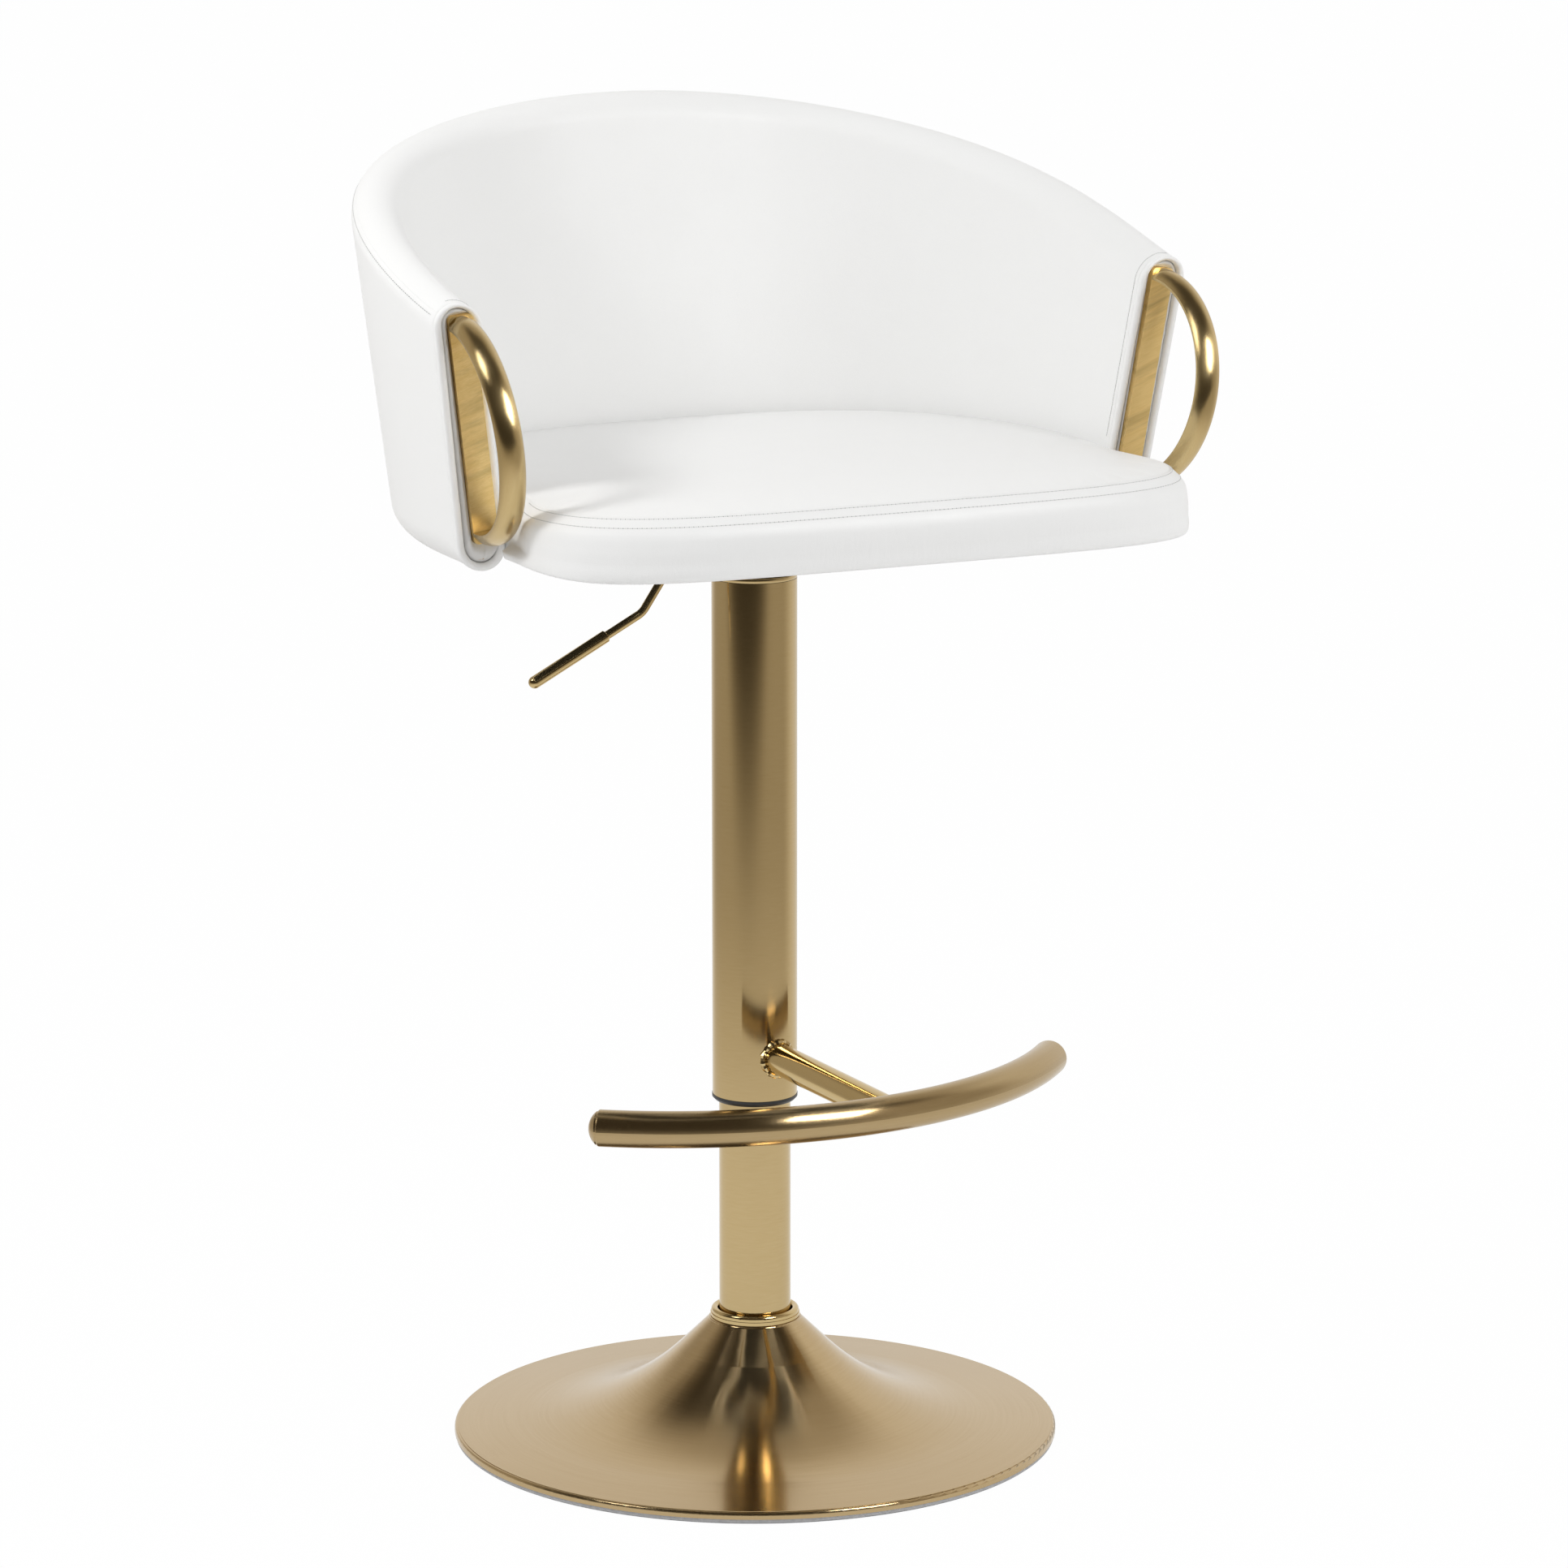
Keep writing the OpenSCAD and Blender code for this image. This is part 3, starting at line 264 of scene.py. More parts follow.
def plain(name, a, b, scale, rough, metallic=0.0, bump=0.1, dist=0.0002):
    """Two-tone mottled surface with matching roughness and relief."""
    m = Surface(name)
    n = m.noise(m.obj(), scale, 3.0, 0.6)
    colour = m.mix(m.span(n, 0.3, 0.7, 0.0, 1.0), rgb(*a), rgb(*b))
    return m.set(Base_Color=colour, Metallic=metallic,
                 Roughness=m.span(n, 0.3, 0.7, rough - 0.06, rough + 0.06), Normal=m.bump(n, bump, dist))


def wood(name):
    """Plywood: grain along X and a darker veneer line in each ply."""
    m = Surface(name)
    x, y, z = m.xyz(m.obj())
    ply = m.math("FRACT", m.times(z, 1.0 / 0.0015))
    grain = m.noise(m.stretched((x, y, z), (30.0, 420.0, 420.0)), 1.0, 4.0)
    colour = m.mix(m.span(grain, 0.3, 0.7, 0.0, 1.0), rgb(0.50, 0.34, 0.18), rgb(0.70, 0.53, 0.33))
    colour = m.mix(m.span(ply, 0.4, 0.5, 0.0, 0.25), colour, rgb(0.38, 0.24, 0.12))
    return m.set(Base_Color=colour, Roughness=m.span(grain, 0.3, 0.7, 0.5, 0.7),
                 Normal=m.bump(grain, 0.2, 0.0002))


# ------------------------------------------------------------------ meshes
def grid_faces(n, m, close_m=True, close_n=False):
    """Quads over n rows of m points."""
    f = []
    for i in range(n if close_n else n - 1):
        k = (i + 1) % n
        for j in range(m if close_m else m - 1):
            l = (j + 1) % m
            f.append((i * m + j, i * m + l, k * m + l, k * m + j))
    return f


def outward(me):
    """Turns the faces of a closed mesh outward."""
    bm = bmesh.new()
    bm.from_mesh(me)
    bmesh.ops.recalc_face_normals(bm, faces=bm.faces)
    bm.to_mesh(me)
    bm.free()


def make(name, points, faces, mats, body, node=()):
    """Adds a closed smooth piece. points: mm; body: what it rides on; node: the CAD nodes it replaces."""
    me = bpy.data.meshes.new(name)
    me.from_pydata((np.asarray(points) * MM).tolist(), [], [tuple(map(int, f)) for f in faces])
    me.update()
    me.polygons.foreach_set("use_smooth", [True] * len(me.polygons))
    outward(me)
    o = bpy.data.objects.new(name, me)
    scene.collection.objects.link(o)
    for m in mats:
        me.materials.append(m)
    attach(o, body)
    if node:
        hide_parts(*node)
    return o


def make_ring(name, rings, mat, node=()):
    """Closed ring-shaped piece from outlines that follow each other round its section."""
    faces = grid_faces(len(rings), len(rings[0]), close_n=True)
    return make(name, np.concatenate(rings), faces, (mat,), "seat", node)


def points_of(me, what="co"):
    """The coordinates (or normals) of a mesh's points."""
    a = np.empty(len(me.vertices) * 3)
    me.vertices.foreach_get(what, a)
    return a.reshape(-1, 3)


def unevenness(points, scale, seed):
    """Smooth noise from -1 to 1 at each point."""
    shift = np.array([seed, -seed, 3.1 * seed])
    return np.array([noise.noise(Vector(q)) for q in points * scale + shift])


# ------------------------------------------------------------------ wall of the back
HALF_X, ARM_Y, DEPTH, PLAN_POW = 259.5, 92.0, 281.5, 2.68       # plan of the wall's middle surface
HALF_T, LEAN, RAKE, LEVEL = 17.5, 0.142, 0.095, 754.8           # half thickness, slopes, height of the plan
RIM_ARM, RIM_REAR, RIM_POW = 840.2, 939.5, 1.17                 # height of the rim and how it rises
WALL_Z, LOW_R, LOW_FADE = 657.0, 24.0, 14.0                     # lower edge, its rounding, run to the arm's
CORE_T, POST_T = 4.5, 10.3                                      # half thickness of the core and the posts
STRIP, POST_L = 4.0, 31.0                                       # arm's edge strip and post, from the arm end
SEAM_DEG, SEAM_GAP = 40.0, 0.04                                 # rim roll: the seam, its gap to a panel
START = STRIP + 0.1                                             # where the panels begin
CLEAR = 0.1                                                     # between a panel and the core
BEHIND_SEAT = 692.0                                             # inner panel's lower edge behind the cushion
CORE_Z = 660.8                                                  # just under the core's lower edge
POST_FOOT = [(-7.6, 666.0), (0.0, 663.6), (7.6, 666.0)]         # round the lower end of a post
FAR = 99.0                                                      # distance that counts as far from the seam
EDGE_D = np.array([0.0, 0.03, 0.15, 0.35, 0.7, 1.2, 2.0, 3.2, 5.0])     # rows beside a seam

_t = np.radians(90 * (np.arange(4001) / 4000) ** 1.6)           # closer steps near the arm end
_x = HALF_X * np.clip(np.cos(_t), 0, 1) ** (2 / PLAN_POW)
_y = -ARM_Y + DEPTH * np.sin(_t) ** (2 / PLAN_POW)
_s = np.concatenate([[0], np.cumsum(np.hypot(np.diff(_x), np.diff(_y)))])
LEN = _s[-1]                                                    # from the arm end to the middle of the rear


def half(s):
    """Right half of the plan at arc length s from the arm end, carried on past both ends."""
    over = s > LEN
    q = np.where(over, 2 * LEN - s, s)
    x = np.interp(q, _s, _x)
    y = np.interp(q, _s, _y) + np.minimum(s, 0)
    return np.where(over, -x, x), y


def wall(side, s, o, z):
    """Point (mm) on one side (-1 left, 1 right): s from the arm end, o outward, height z."""
    s, o, z = np.broadcast_arrays(np.asarray(s, float), np.asarray(o, float), np.asarray(z, float))
    x, y = half(s)
    x1, y1 = half(s + 5)
    x0, y0 = half(s - 5)
    tx, ty = x1 - x0, y1 - y0
    n = np.hypot(tx, ty)
    tx, ty = tx / n, ty / n
    d = o + LEAN * (z - LEVEL)
    u = np.clip(s / LEN, -1, 1)
    return np.stack([side * (x + ty * d), y - tx * d - RAKE * (1 - u) ** 2 * (z - LEVEL), z], -1)


def crown(s):
    """Height of the middle of the rim roll."""
    u = np.clip(np.asarray(s, float) / LEN, 0, 1)
    return RIM_ARM + (RIM_REAR - RIM_ARM) * np.sin(np.radians(90 * u)) ** RIM_POW - HALF_T


def tuck(d):
    """How far leather dips at distance d from the rim's seam."""
    return 0.12 * np.exp(-d / 0.3) + 0.06 * np.exp(-d / 2.0)


def tuck_end(d):
    """The deeper dip where the panels meet the arm's edge strip."""
    return 0.95 * np.exp(-d / 0.6) + 0.35 * np.exp(-d / 2.8)


def spine():
    """(side, s) of each section from the left arm end over the rear to the right arm end."""
    near = [12, 15, 18, 21, 24, 27, POST_L, POST_L + 0.3]
    s = np.concatenate([START + EDGE_D, near, np.linspace(POST_L + 3.2, LEN, 132)])
    side = np.concatenate([-np.ones(len(s)), np.ones(len(s) - 1)])
    return zip(side, np.concatenate([s, s[-2::-1]]))


def on_roll(degrees, z):
    """Points and outward normals of the rim roll, whose middle is at height z."""
    a = np.radians(degrees)
    n = np.stack([np.cos(a), np.sin(a)], 1)
    return n * HALF_T + (0, z), n


def outline(*runs):
    """Points, outward normals and distances to the seam of a section made of several runs."""
    points, normals, dists = zip(*runs)
    count = [len(p) for p in points]
    normals = [np.broadcast_to(n, (k, 2)) for n, k in zip(normals, count)]
    dists = [np.broadcast_to(d, (k,)) for d, k in zip(dists, count)]
    return np.concatenate(points), np.concatenate(normals), np.concatenate(dists)


def section_inner(s):
    """Inner panel: its face, the rim roll up to the seam, and the side against the core."""
    top = float(crown(s))
    post = s < POST_L + CLEAR
    core = POST_T if post else CORE_T + CLEAR
    low = WALL_Z + HALF_T if post else BEHIND_SEAT
    seam = SEAM_DEG + SEAM_GAP
    face = [(-HALF_T, low + (top - low) * t) for t in np.linspace(0, 1, 46)]
    angles = np.concatenate([np.linspace(176, 60, 24), seam + np.degrees(EDGE_D[::-1] / HALF_T)])
    roll, normals = on_roll(angles, top)
    rise = core * math.tan(math.radians(seam))
    back = [(core, top + rise), (core, top + 0.3), (-core, top + 0.3), (-core, (low + top) / 2), (-core, low)]
    dist = np.maximum(np.radians(angles - seam) * HALF_T, 0)
    return outline((face, (-1.0, 0.0), FAR), (roll, normals, dist), (back, (0.0, 0.0), FAR))


def section_outer(s):
    """Outer panel: the rim roll from the seam, its face, the rounded lower edge, and the inner side."""
    top = float(crown(s))
    post = s < POST_L + CLEAR
    core = POST_T if post else CORE_T + CLEAR
    seam = SEAM_DEG - SEAM_GAP
    near_arm = math.exp(-max(0.0, s - STRIP) / LOW_FADE)
    r = LOW_R + (HALF_T - LOW_R) * near_arm
    mid, z0 = HALF_T - r, WALL_Z + r
    angles = np.concatenate([seam - np.degrees(EDGE_D / HALF_T), np.linspace(20, 0, 6)])
    roll, roll_normals = on_roll(angles, top)
    face = [(HALF_T, top + (z0 - top) * t) for t in np.linspace(0, 1, 44)[1:]]
    turn = np.radians(np.linspace(0, 90 + (88 * near_arm if post else 0), 20)[1:])
    low_normals = np.stack([np.cos(turn), -np.sin(turn)], 1)
    low = low_normals * r + (mid, z0)
    if post:
        end = WALL_Z + HALF_T
        inner = [(-HALF_T + 0.3, end - 0.2), (-POST_T, end - 0.2)] + POST_FOOT + [(core, end)]
    else:
        inner = [(mid - 0.5, WALL_Z + 0.4), (mid - 0.7, CORE_Z)]
        inner += [(x, CORE_Z) for x in (-2.0, 0.0, 2.0, core)]
    inner += [(core, (CORE_Z + top) / 2), (core, top + core * math.tan(math.radians(seam)) - 0.3)]
    dist = np.maximum(np.radians(seam - angles) * HALF_T, 0)
    return outline((roll, roll_normals, dist), (face, (1.0, 0.0), FAR), (low, low_normals, FAR),
                   (inner, (0.0, 0.0), FAR))


def panel(section, name, mat, node):
    """Closed panel: a section carried along the wall from arm end to arm end."""
    rings = []
    for side, s in spine():
        p, normals, dist = section(s)
        dip = np.where(normals.any(axis=1), tuck_end(s - START) + tuck(dist), 0.0)
        p = p - normals * dip[:, None]
        rings.append(wall(side, s, p[:, 0], p[:, 1]))
    n, m = len(rings), len(rings[0])
    faces = grid_faces(n, m)
    faces += [tuple(range(m))[::-1], tuple((n - 1) * m + i for i in range(m))]
    return make(name, np.concatenate(rings), faces, (mat,), "seat", (node,))


# ------------------------------------------------------------------ arm ends
SLOT_W, SLOT_RISE = 12.0, 2.4                        # half width of the slot, and how much its top is raised
RAISED_FROM = 700.0                                  # the rise starts at this height
# the edge strip's section, from its outer edge to the slot: half width of the racetrack, depth from the end
STRIP_ROWS = [(16.5, 3.95), (17.0, 3.75), (17.4, 3.35), (17.65, 2.7), (17.7, 1.9), (17.55, 1.1), (17.2, 0.4),
              (16.6, -0.15), (15.8, -0.5), (14.9, -0.6), (14.0, -0.5), (13.2, -0.15), (12.6, 0.4),
              (12.2, 1.2), (12.05, 2.2), (12.0, 3.1), (12.0, 3.95)]
PUCKER_D, PUCKER_OUT = 3.0, 0.4                      # it puckers in front of this depth; share sideways
TILT, SWING, TURN = 4.45, 7.83, 5.46                 # the handle's turns about X, Y and Z, degrees
HANDLE_AT = np.array([HALF_X - 1.4, -ARM_Y - 3.5, LEVEL])
LINING_W, LINING_L, LINING_Y = 8.95, 78.45, 4.8      # lining's inner edge: half width, half length, depth
LINING_POW, LINING_STRETCH = 5.5, 1.0135             # how square its ends are; its length against the slot's
LINING_GAP, LINING_D, LINING_ROWS = 0.05, 3.5, 13    # gap to the strip, depth there, rows from strip to plate
LINING_SAG, LINING_T = 0.45, 1.0                     # how deep it bulges for each mm of width; its thickness
FOLD, FOLD_W, FOLD_DOWN = 1.1, 0.9, 1.7              # ridge under the plate: height, width, lie of the rest


def racetrack():
    """Centre points and outward normals round an arm end, in (outward, height)."""
    n_side, n_arc = 80, 56
    low, high = WALL_Z + HALF_T, RIM_ARM - HALF_T
    run = np.arange(n_side) / n_side
    turn = math.pi * np.arange(n_arc) / n_arc
    z = np.concatenate([low + (high - low) * run, np.full(n_arc, high),
                        high - (high - low) * run, np.full(n_arc, low)])
    a = np.concatenate([np.zeros(n_side), turn, np.full(n_side, math.pi), math.pi + turn])
    return np.stack([np.zeros(len(z)), z], 1), np.stack([np.cos(a), np.sin(a)], 1)


TRACK, TRACK_OUT = racetrack()


def track_at(r):
    """Points of the racetrack at half width r, with the slot's top raised."""
    rise = SLOT_RISE * max(0.0, min(1.0, (HALF_T - r) / (HALF_T - SLOT_W)))
    p = TRACK + TRACK_OUT * r
    p[:, 1] += np.clip((TRACK[:, 1] - RAISED_FROM) / (RIM_ARM - HALF_T - RAISED_FROM), 0, 1) * rise
    return p


def arm_strip(side, tag, mat):
    """Sewn leather strip round one arm end, slightly puckered on its front."""
    rings = []
    for r, d in STRIP_ROWS:
        p = track_at(r)
        w = wall(side, d, p[:, 0], p[:, 1])
        if d < PUCKER_D:
            pucker = unevenness(w, 0.09, 5.0 + side) * 0.25 + unevenness(w, 0.3, 9.0) * 0.10
            w[:, 1] += pucker
            w[:, 0] += side * TRACK_OUT[:, 0] * pucker * PUCKER_OUT
        rings.append(w)
    return make_ring("arm_edge_" + tag, rings, mat, ("arm_trim_" + tag,))


def turned_frame(x, y, z):
    """Rotation matrix that turns about X, then Y, then Z (degrees)."""
    a, b, c = map(math.radians, (x, y, z))
    rx = np.array([[1, 0, 0], [0, math.cos(a), -math.sin(a)], [0, math.sin(a), math.cos(a)]])
    ry = np.array([[math.cos(b), 0, math.sin(b)], [0, 1, 0], [-math.sin(b), 0, math.cos(b)]])
    rz = np.array([[math.cos(c), -math.sin(c), 0], [math.sin(c), math.cos(c), 0], [0, 0, 1]])
    return rz @ ry @ rx


HANDLE_FRAME = turned_frame(TILT, SWING, TURN)


def at_handle(side, p):
    """Points of the handle's own frame, brought to one side of the stool."""
    q = np.asarray(p, float) @ HANDLE_FRAME.T + HANDLE_AT
    q[..., 0] *= side
    return q


def lining_edge():
    """Inner edge of the slot lining, in the handle's own frame."""
    w, end = LINING_W, LINING_L - LINING_W
    edge = []
    for (_, z), (nx, nz) in zip(track_at(SLOT_W - LINING_GAP), TRACK_OUT):
        if abs(nz) > 1e-6:                           # round the ends
            q = (abs(nx) ** LINING_POW + abs(nz) ** LINING_POW) ** (-1 / LINING_POW)
            edge.append((w * nx * q, LINING_Y, (end if z > LEVEL else -end) + w * nz * q))
        else:                                        # along the sides
            edge.append((w * nx, LINING_Y, max(-end, min(end, (z - LEVEL) * LINING_STRETCH))))
    return np.array(edge)


def slot_lining(side, tag, mat):
    """Leather that lines the slot round the handle's plate."""
    outer = track_at(SLOT_W - LINING_GAP)
    start = wall(side, LINING_D, outer[:, 0], outer[:, 1])
    end = at_handle(side, lining_edge())
    width = np.linalg.norm((start - end)[:, [0, 2]], axis=1)
    fold = FOLD * np.exp(-np.abs(TRACK_OUT[:, 0] * SLOT_W) / FOLD_W) - FOLD_DOWN
    fold = np.where(outer[:, 1] < LEVEL - LINING_L, fold, 0)
    rings = []
    for i in range(LINING_ROWS):
        t = i / (LINING_ROWS - 1)
        w = start * (1 - t) + end * t
        w[:, 1] -= np.clip(width, 1.0, 6.0) * LINING_SAG * math.sin(math.pi * t ** 0.85) ** 1.2
        crease = unevenness(w, 0.13, 3.0 + side) * 0.8 + unevenness(w, 0.35, 8.0) * 0.3
        w[:, 1] += (crease + fold) * math.sin(math.pi * t)
        rings.append(w)
    thickness = np.array([0.0, LINING_T, 0.0])
    rings += [rings[-1] + thickness, rings[0] + thickness]
    return make_ring("slot_lining_" + tag, rings, mat, ())


# ------------------------------------------------------------------ stitching
PITCH, STITCH, THREAD_R, LIFT = 3.1, 2.2, 0.30, 0.03 # of the stitches: pitch, length, thread radius, lift
STITCH_SINK = 0.3                                    # how far a stitch's ends sink into the leather
STITCH_STEPS = (-1, -0.75, -0.3, 0.3, 0.75, 1)       # where along a stitch its thickness is set
# needle holes are drawn as flat dark beads: painted shade of each hole
HOLE_HALF, HOLE_RADII, HOLE_LIFT = 0.42, (0.12, 0.36, 0.36, 0.12), 0.06
HOLE_FLAT = 0.35                                     # height of a hole's bead against its width
BEAD_N = 6                                           # sides of a bead


def stitches(name, points, normals, mats):
    """Sewing thread along a line of points: rounded stitches with a flat dark bead between each two, painted
    shade of a needle hole.
    """
    s = np.concatenate([[0], np.cumsum(np.linalg.norm(np.diff(points, axis=0), axis=1))])
    all_points, faces, tones = [], [], []

    def at(arr, x):
        return np.array([np.interp(x, s, arr[:, k]) for k in range(3)])

    def bead(middle, half_length, radii, height, sink, tone):
        """Rounded bead along the line. tone: 0 thread, 1 the flatter dark bead, painted shade of a needle
        hole.
        """
        base, n = len(all_points), len(radii)
        up = at(normals, middle)
        up /= np.linalg.norm(up)
        for j, r in enumerate(radii):
            t = -1 + 2 * j / (n - 1)
            x = middle + t * half_length
            ahead = at(points, x + 0.3) - at(points, x - 0.3)
            across = np.cross(up, ahead / np.linalg.norm(ahead))
            c = at(points, x) + up * (height - sink * t * t)
            for k in range(BEAD_N):
                a = 2 * math.pi * k / BEAD_N
                flat = HOLE_FLAT if tone else 1.0
                all_points.append(c + across * r * math.cos(a) + up * r * math.sin(a) * flat)
        faces.extend(tuple(base + v for v in q) for q in grid_faces(n, BEAD_N))
        faces.append(tuple(base + k for k in range(BEAD_N))[::-1])
        faces.append(tuple(base + BEAD_N * (n - 1) + k for k in range(BEAD_N)))
        tones.extend([tone] * (BEAD_N * (n - 1) + 2))

    stitch_radii = [THREAD_R * math.sqrt(max(0.06, 1 - abs(t) ** 2.5)) for t in STITCH_STEPS]
    for i in range(int((s[-1] - STITCH) / PITCH)):
        middle = 1.0 + (i + 0.5) * PITCH
        bead(middle, STITCH / 2, stitch_radii, LIFT + THREAD_R * 0.3, STITCH_SINK, 0)
        bead(middle + PITCH / 2, HOLE_HALF, HOLE_RADII, HOLE_LIFT, 0.0, 1)
    o = make(name, all_points, faces, mats, "seat", ())
    o.data.polygons.foreach_set("material_index", tones)
    return o


# ------------------------------------------------------------------ cloth
CLOTH_FRAMES = 20


def inflate(o, pins, cap, weight):
    """Runs Cloth with pressure on a closed mesh and keeps at most cap (mm) of each point's move."""
    before = points_of(o.data)
    group = o.vertex_groups.new(name="pin")
    for i in np.nonzero(pins > 0)[0]:
        group.add([int(i)], float(pins[i]), "REPLACE")
    cloth = o.modifiers.new("pad", "CLOTH")
    c = cloth.settings
    c.quality = 4
    c.mass = 0.4
    c.tension_stiffness = c.compression_stiffness = 15.0
    c.shear_stiffness = 5
    c.bending_stiffness = 2.0
    c.vertex_group_mass = "pin"
    c.use_pressure = True
    c.uniform_pressure_force = 4.0
    c.effector_weights.gravity = 0
    cloth.collision_settings.use_collision = False
    cloth.point_cache.frame_start, cloth.point_cache.frame_end = 1, CLOTH_FRAMES
    for f in range(1, CLOTH_FRAMES + 1):
        scene.frame_set(f)
    swollen = o.evaluated_get(bpy.context.evaluated_depsgraph_get())
    move = points_of(swollen.data) - before
    o.modifiers.remove(cloth)
    o.vertex_groups.remove(group)
    scene.frame_set(1)
    length = np.linalg.norm(move, axis=1)
    most = cap * MM
    k = np.where(length > 1e-9, most * np.tanh(length / most) / np.maximum(length, 1e-9), 0.0) * weight
    o.data.vertices.foreach_set("co", (before + move * k[:, None]).reshape(-1))
    o.data.update()


# ------------------------------------------------------------------ seat cushion
SEAT_C = np.array([0.0, -40.0])                      # plan point that the outline goes round
BOARD_Z, SEAM_Z, CROWN = 667.0, 709.0, 6.0           # underside, seam at the edge, rise of the middle
FRONT_D, FLARE = 248.5, 10.0                         # depth of the front part, and how much it widens
FRONT_POW, LOW_POW = 4.1, 5.4                        # how square the front corners are, at the seam and below
BOW, TWIST = 3.0, 1.9                                # bow of the front edge (mm), its turn (degrees)
EASE, LOW_EASE = 82.0, 16.0                          # run of the flare and of the turn; shorter at the bottom
LOW_H, SQUARE_H = 6.0, 4.0                           # how high the short run goes, and where corners change
SIDE_O = -HALF_T - 0.5                               # the cushion's sides follow the back's inner face
# side rows from underside to top: inset from the outline, height; the dip near 708 is the seam
BAND = [(5.0, 666.4), (3.2, 666.5), (2.0, 666.8), (1.2, 667.4), (0.7, 668.4), (0.4, 670.0), (0.3, 672.6),
        (0.3, 675.8)]
BAND += [(0.25 + 0.5 * abs(z - 686) / 10, z) for z in range(678, 696, 2)]
BAND += [(1.1, 697.5), (1.9, 699.2), (3.0, 700.9), (4.3, 702.6), (5.7, 704.1), (7.1, 705.5), (8.3, 706.7),
         (9.3, 707.6), (9.9, 708.2), (10.35, 708.4), (10.7, 707.7), (11.05, 708.5), (11.6, 709.3),
         (12.6, 710.0), (14.2, 710.6)]
LOW_ROWS = 8                                         # rows of the band pinned at the lower edge
SEAM_ROWS = range(BAND.index((9.3, 707.6)), BAND.index((11.6, 709.3)))
REAR_ROUND, REAR_EDGE = 0.65, (10.0, 60.0)           # the rear's inset against the front's; where it sets in
REAR_STILL, SWELL = (22.0, 30.0), 2.5                # where the rear edge stops swelling; a point's most move
CROWN_POW = 2.2                                      # how the top falls off towards its edge
TOP_N = 75                                           # square rings on the top and on the underside
RING_N = 8 * TOP_N                                   # points round the cushion


def eased(size, t):
    """From 0 to size without a kink at either end."""
    return size * t * t * (3 - 2 * t)


def seat_plan(z):
    """Dense outline of the cushion at height z, counter-clockwise from the right arm end."""
    s = np.linspace(0, LEN, 400)
    right = wall(1, s, SIDE_O, z)[:, :2]
    left = wall(-1, s[::-1], SIDE_O, z)[:, :2]
    x0, y0 = right[0]
    depth = FRONT_D + y0
    up = min(1.0, max(0.0, (z - BOARD_Z - SQUARE_H) / (SEAM_Z - BOARD_Z - SQUARE_H)))
    n = LOW_POW + (FRONT_POW - LOW_POW) * up
    run = LOW_EASE if z < BOARD_Z + LOW_H else EASE
    t = np.radians(np.linspace(0, 180, 702)[1:-1])
    q = (np.abs(np.cos(t)) ** n + np.sin(t) ** n) ** (-1 / n)
    k, g = np.cos(t) * q, np.sin(t) * q              # across and forward, as shares of the front part
    w = eased(-np.radians(TWIST), np.clip(g * depth / EASE, 0, 1))
    x = (x0 + eased(FLARE, np.clip(g * depth / run, 0, 1))) * k
    y = y0 - g * depth + BOW * k * k * g ** 4 - SEAT_C[1]
    front = np.stack([x * np.cos(w) - y * np.sin(w), SEAT_C[1] + x * np.sin(w) + y * np.cos(w)], 1)[::-1]
    return np.concatenate([right, left[1:], front])


def seat_radius(z, ang):
    """Radius of the outline round SEAT_C at each polar angle."""
    q = seat_plan(z) - SEAT_C
    a = np.unwrap(np.arctan2(q[:, 1], q[:, 0])) % (2 * math.pi)
    k = np.argsort(a)
    return np.interp(ang % (2 * math.pi), a[k], np.hypot(q[:, 0], q[:, 1])[k], period=2 * math.pi)


def place_round(i, j, r):
    """Place of (i, j) on the edge of a square of half side r, counted from its corner at 45 degrees."""
    if j == r and i != -r:
        return r - i
    if i == -r and j != -r:
        return 2 * r + (r - j)
    if j == -r and i != r:
        return 4 * r + (i + r)
    return 6 * r + (j + r)


def fill(edge, edge_start, new_start, flip, height):
    """Points and quads that close one end of the cushion: square rings that shrink to the middle.

    edge: the ring's points; edge_start and new_start: index of its first point and of the first new one;
    height: z of a new point from its share of the way out."""
    points, index = [], {}

    def get(i, j):
        r = max(abs(i), abs(j))
        if r == TOP_N:
            return edge_start + place_round(i, j, r) % RING_N
        if (i, j) not in index:
            p = SEAT_C
            if r:
                place = place_round(i, j, r) * TOP_N / r
                a = math.floor(place)
                w = place - a
                on_edge = edge[a % RING_N] * (1 - w) + edge[(a + 1) % RING_N] * w
                p = SEAT_C + (on_edge[:2] - SEAT_C) * (r / TOP_N)
            index[i, j] = new_start + len(points)
            points.append((p[0], p[1], height(r / TOP_N)))
        return index[i, j]

    quads = []
    for i in range(-TOP_N, TOP_N):
        for j in range(-TOP_N, TOP_N):
            q = (get(i, j), get(i + 1, j), get(i + 1, j + 1), get(i, j + 1))
            quads.append(q[::-1] if flip else q)
    return np.array(points), quads


def rear_share(y, before, run):
    """0 to 1 from front to rear, starting before the line of the arm ends."""
    return np.clip((y + ARM_Y + before) / run, 0, 1)


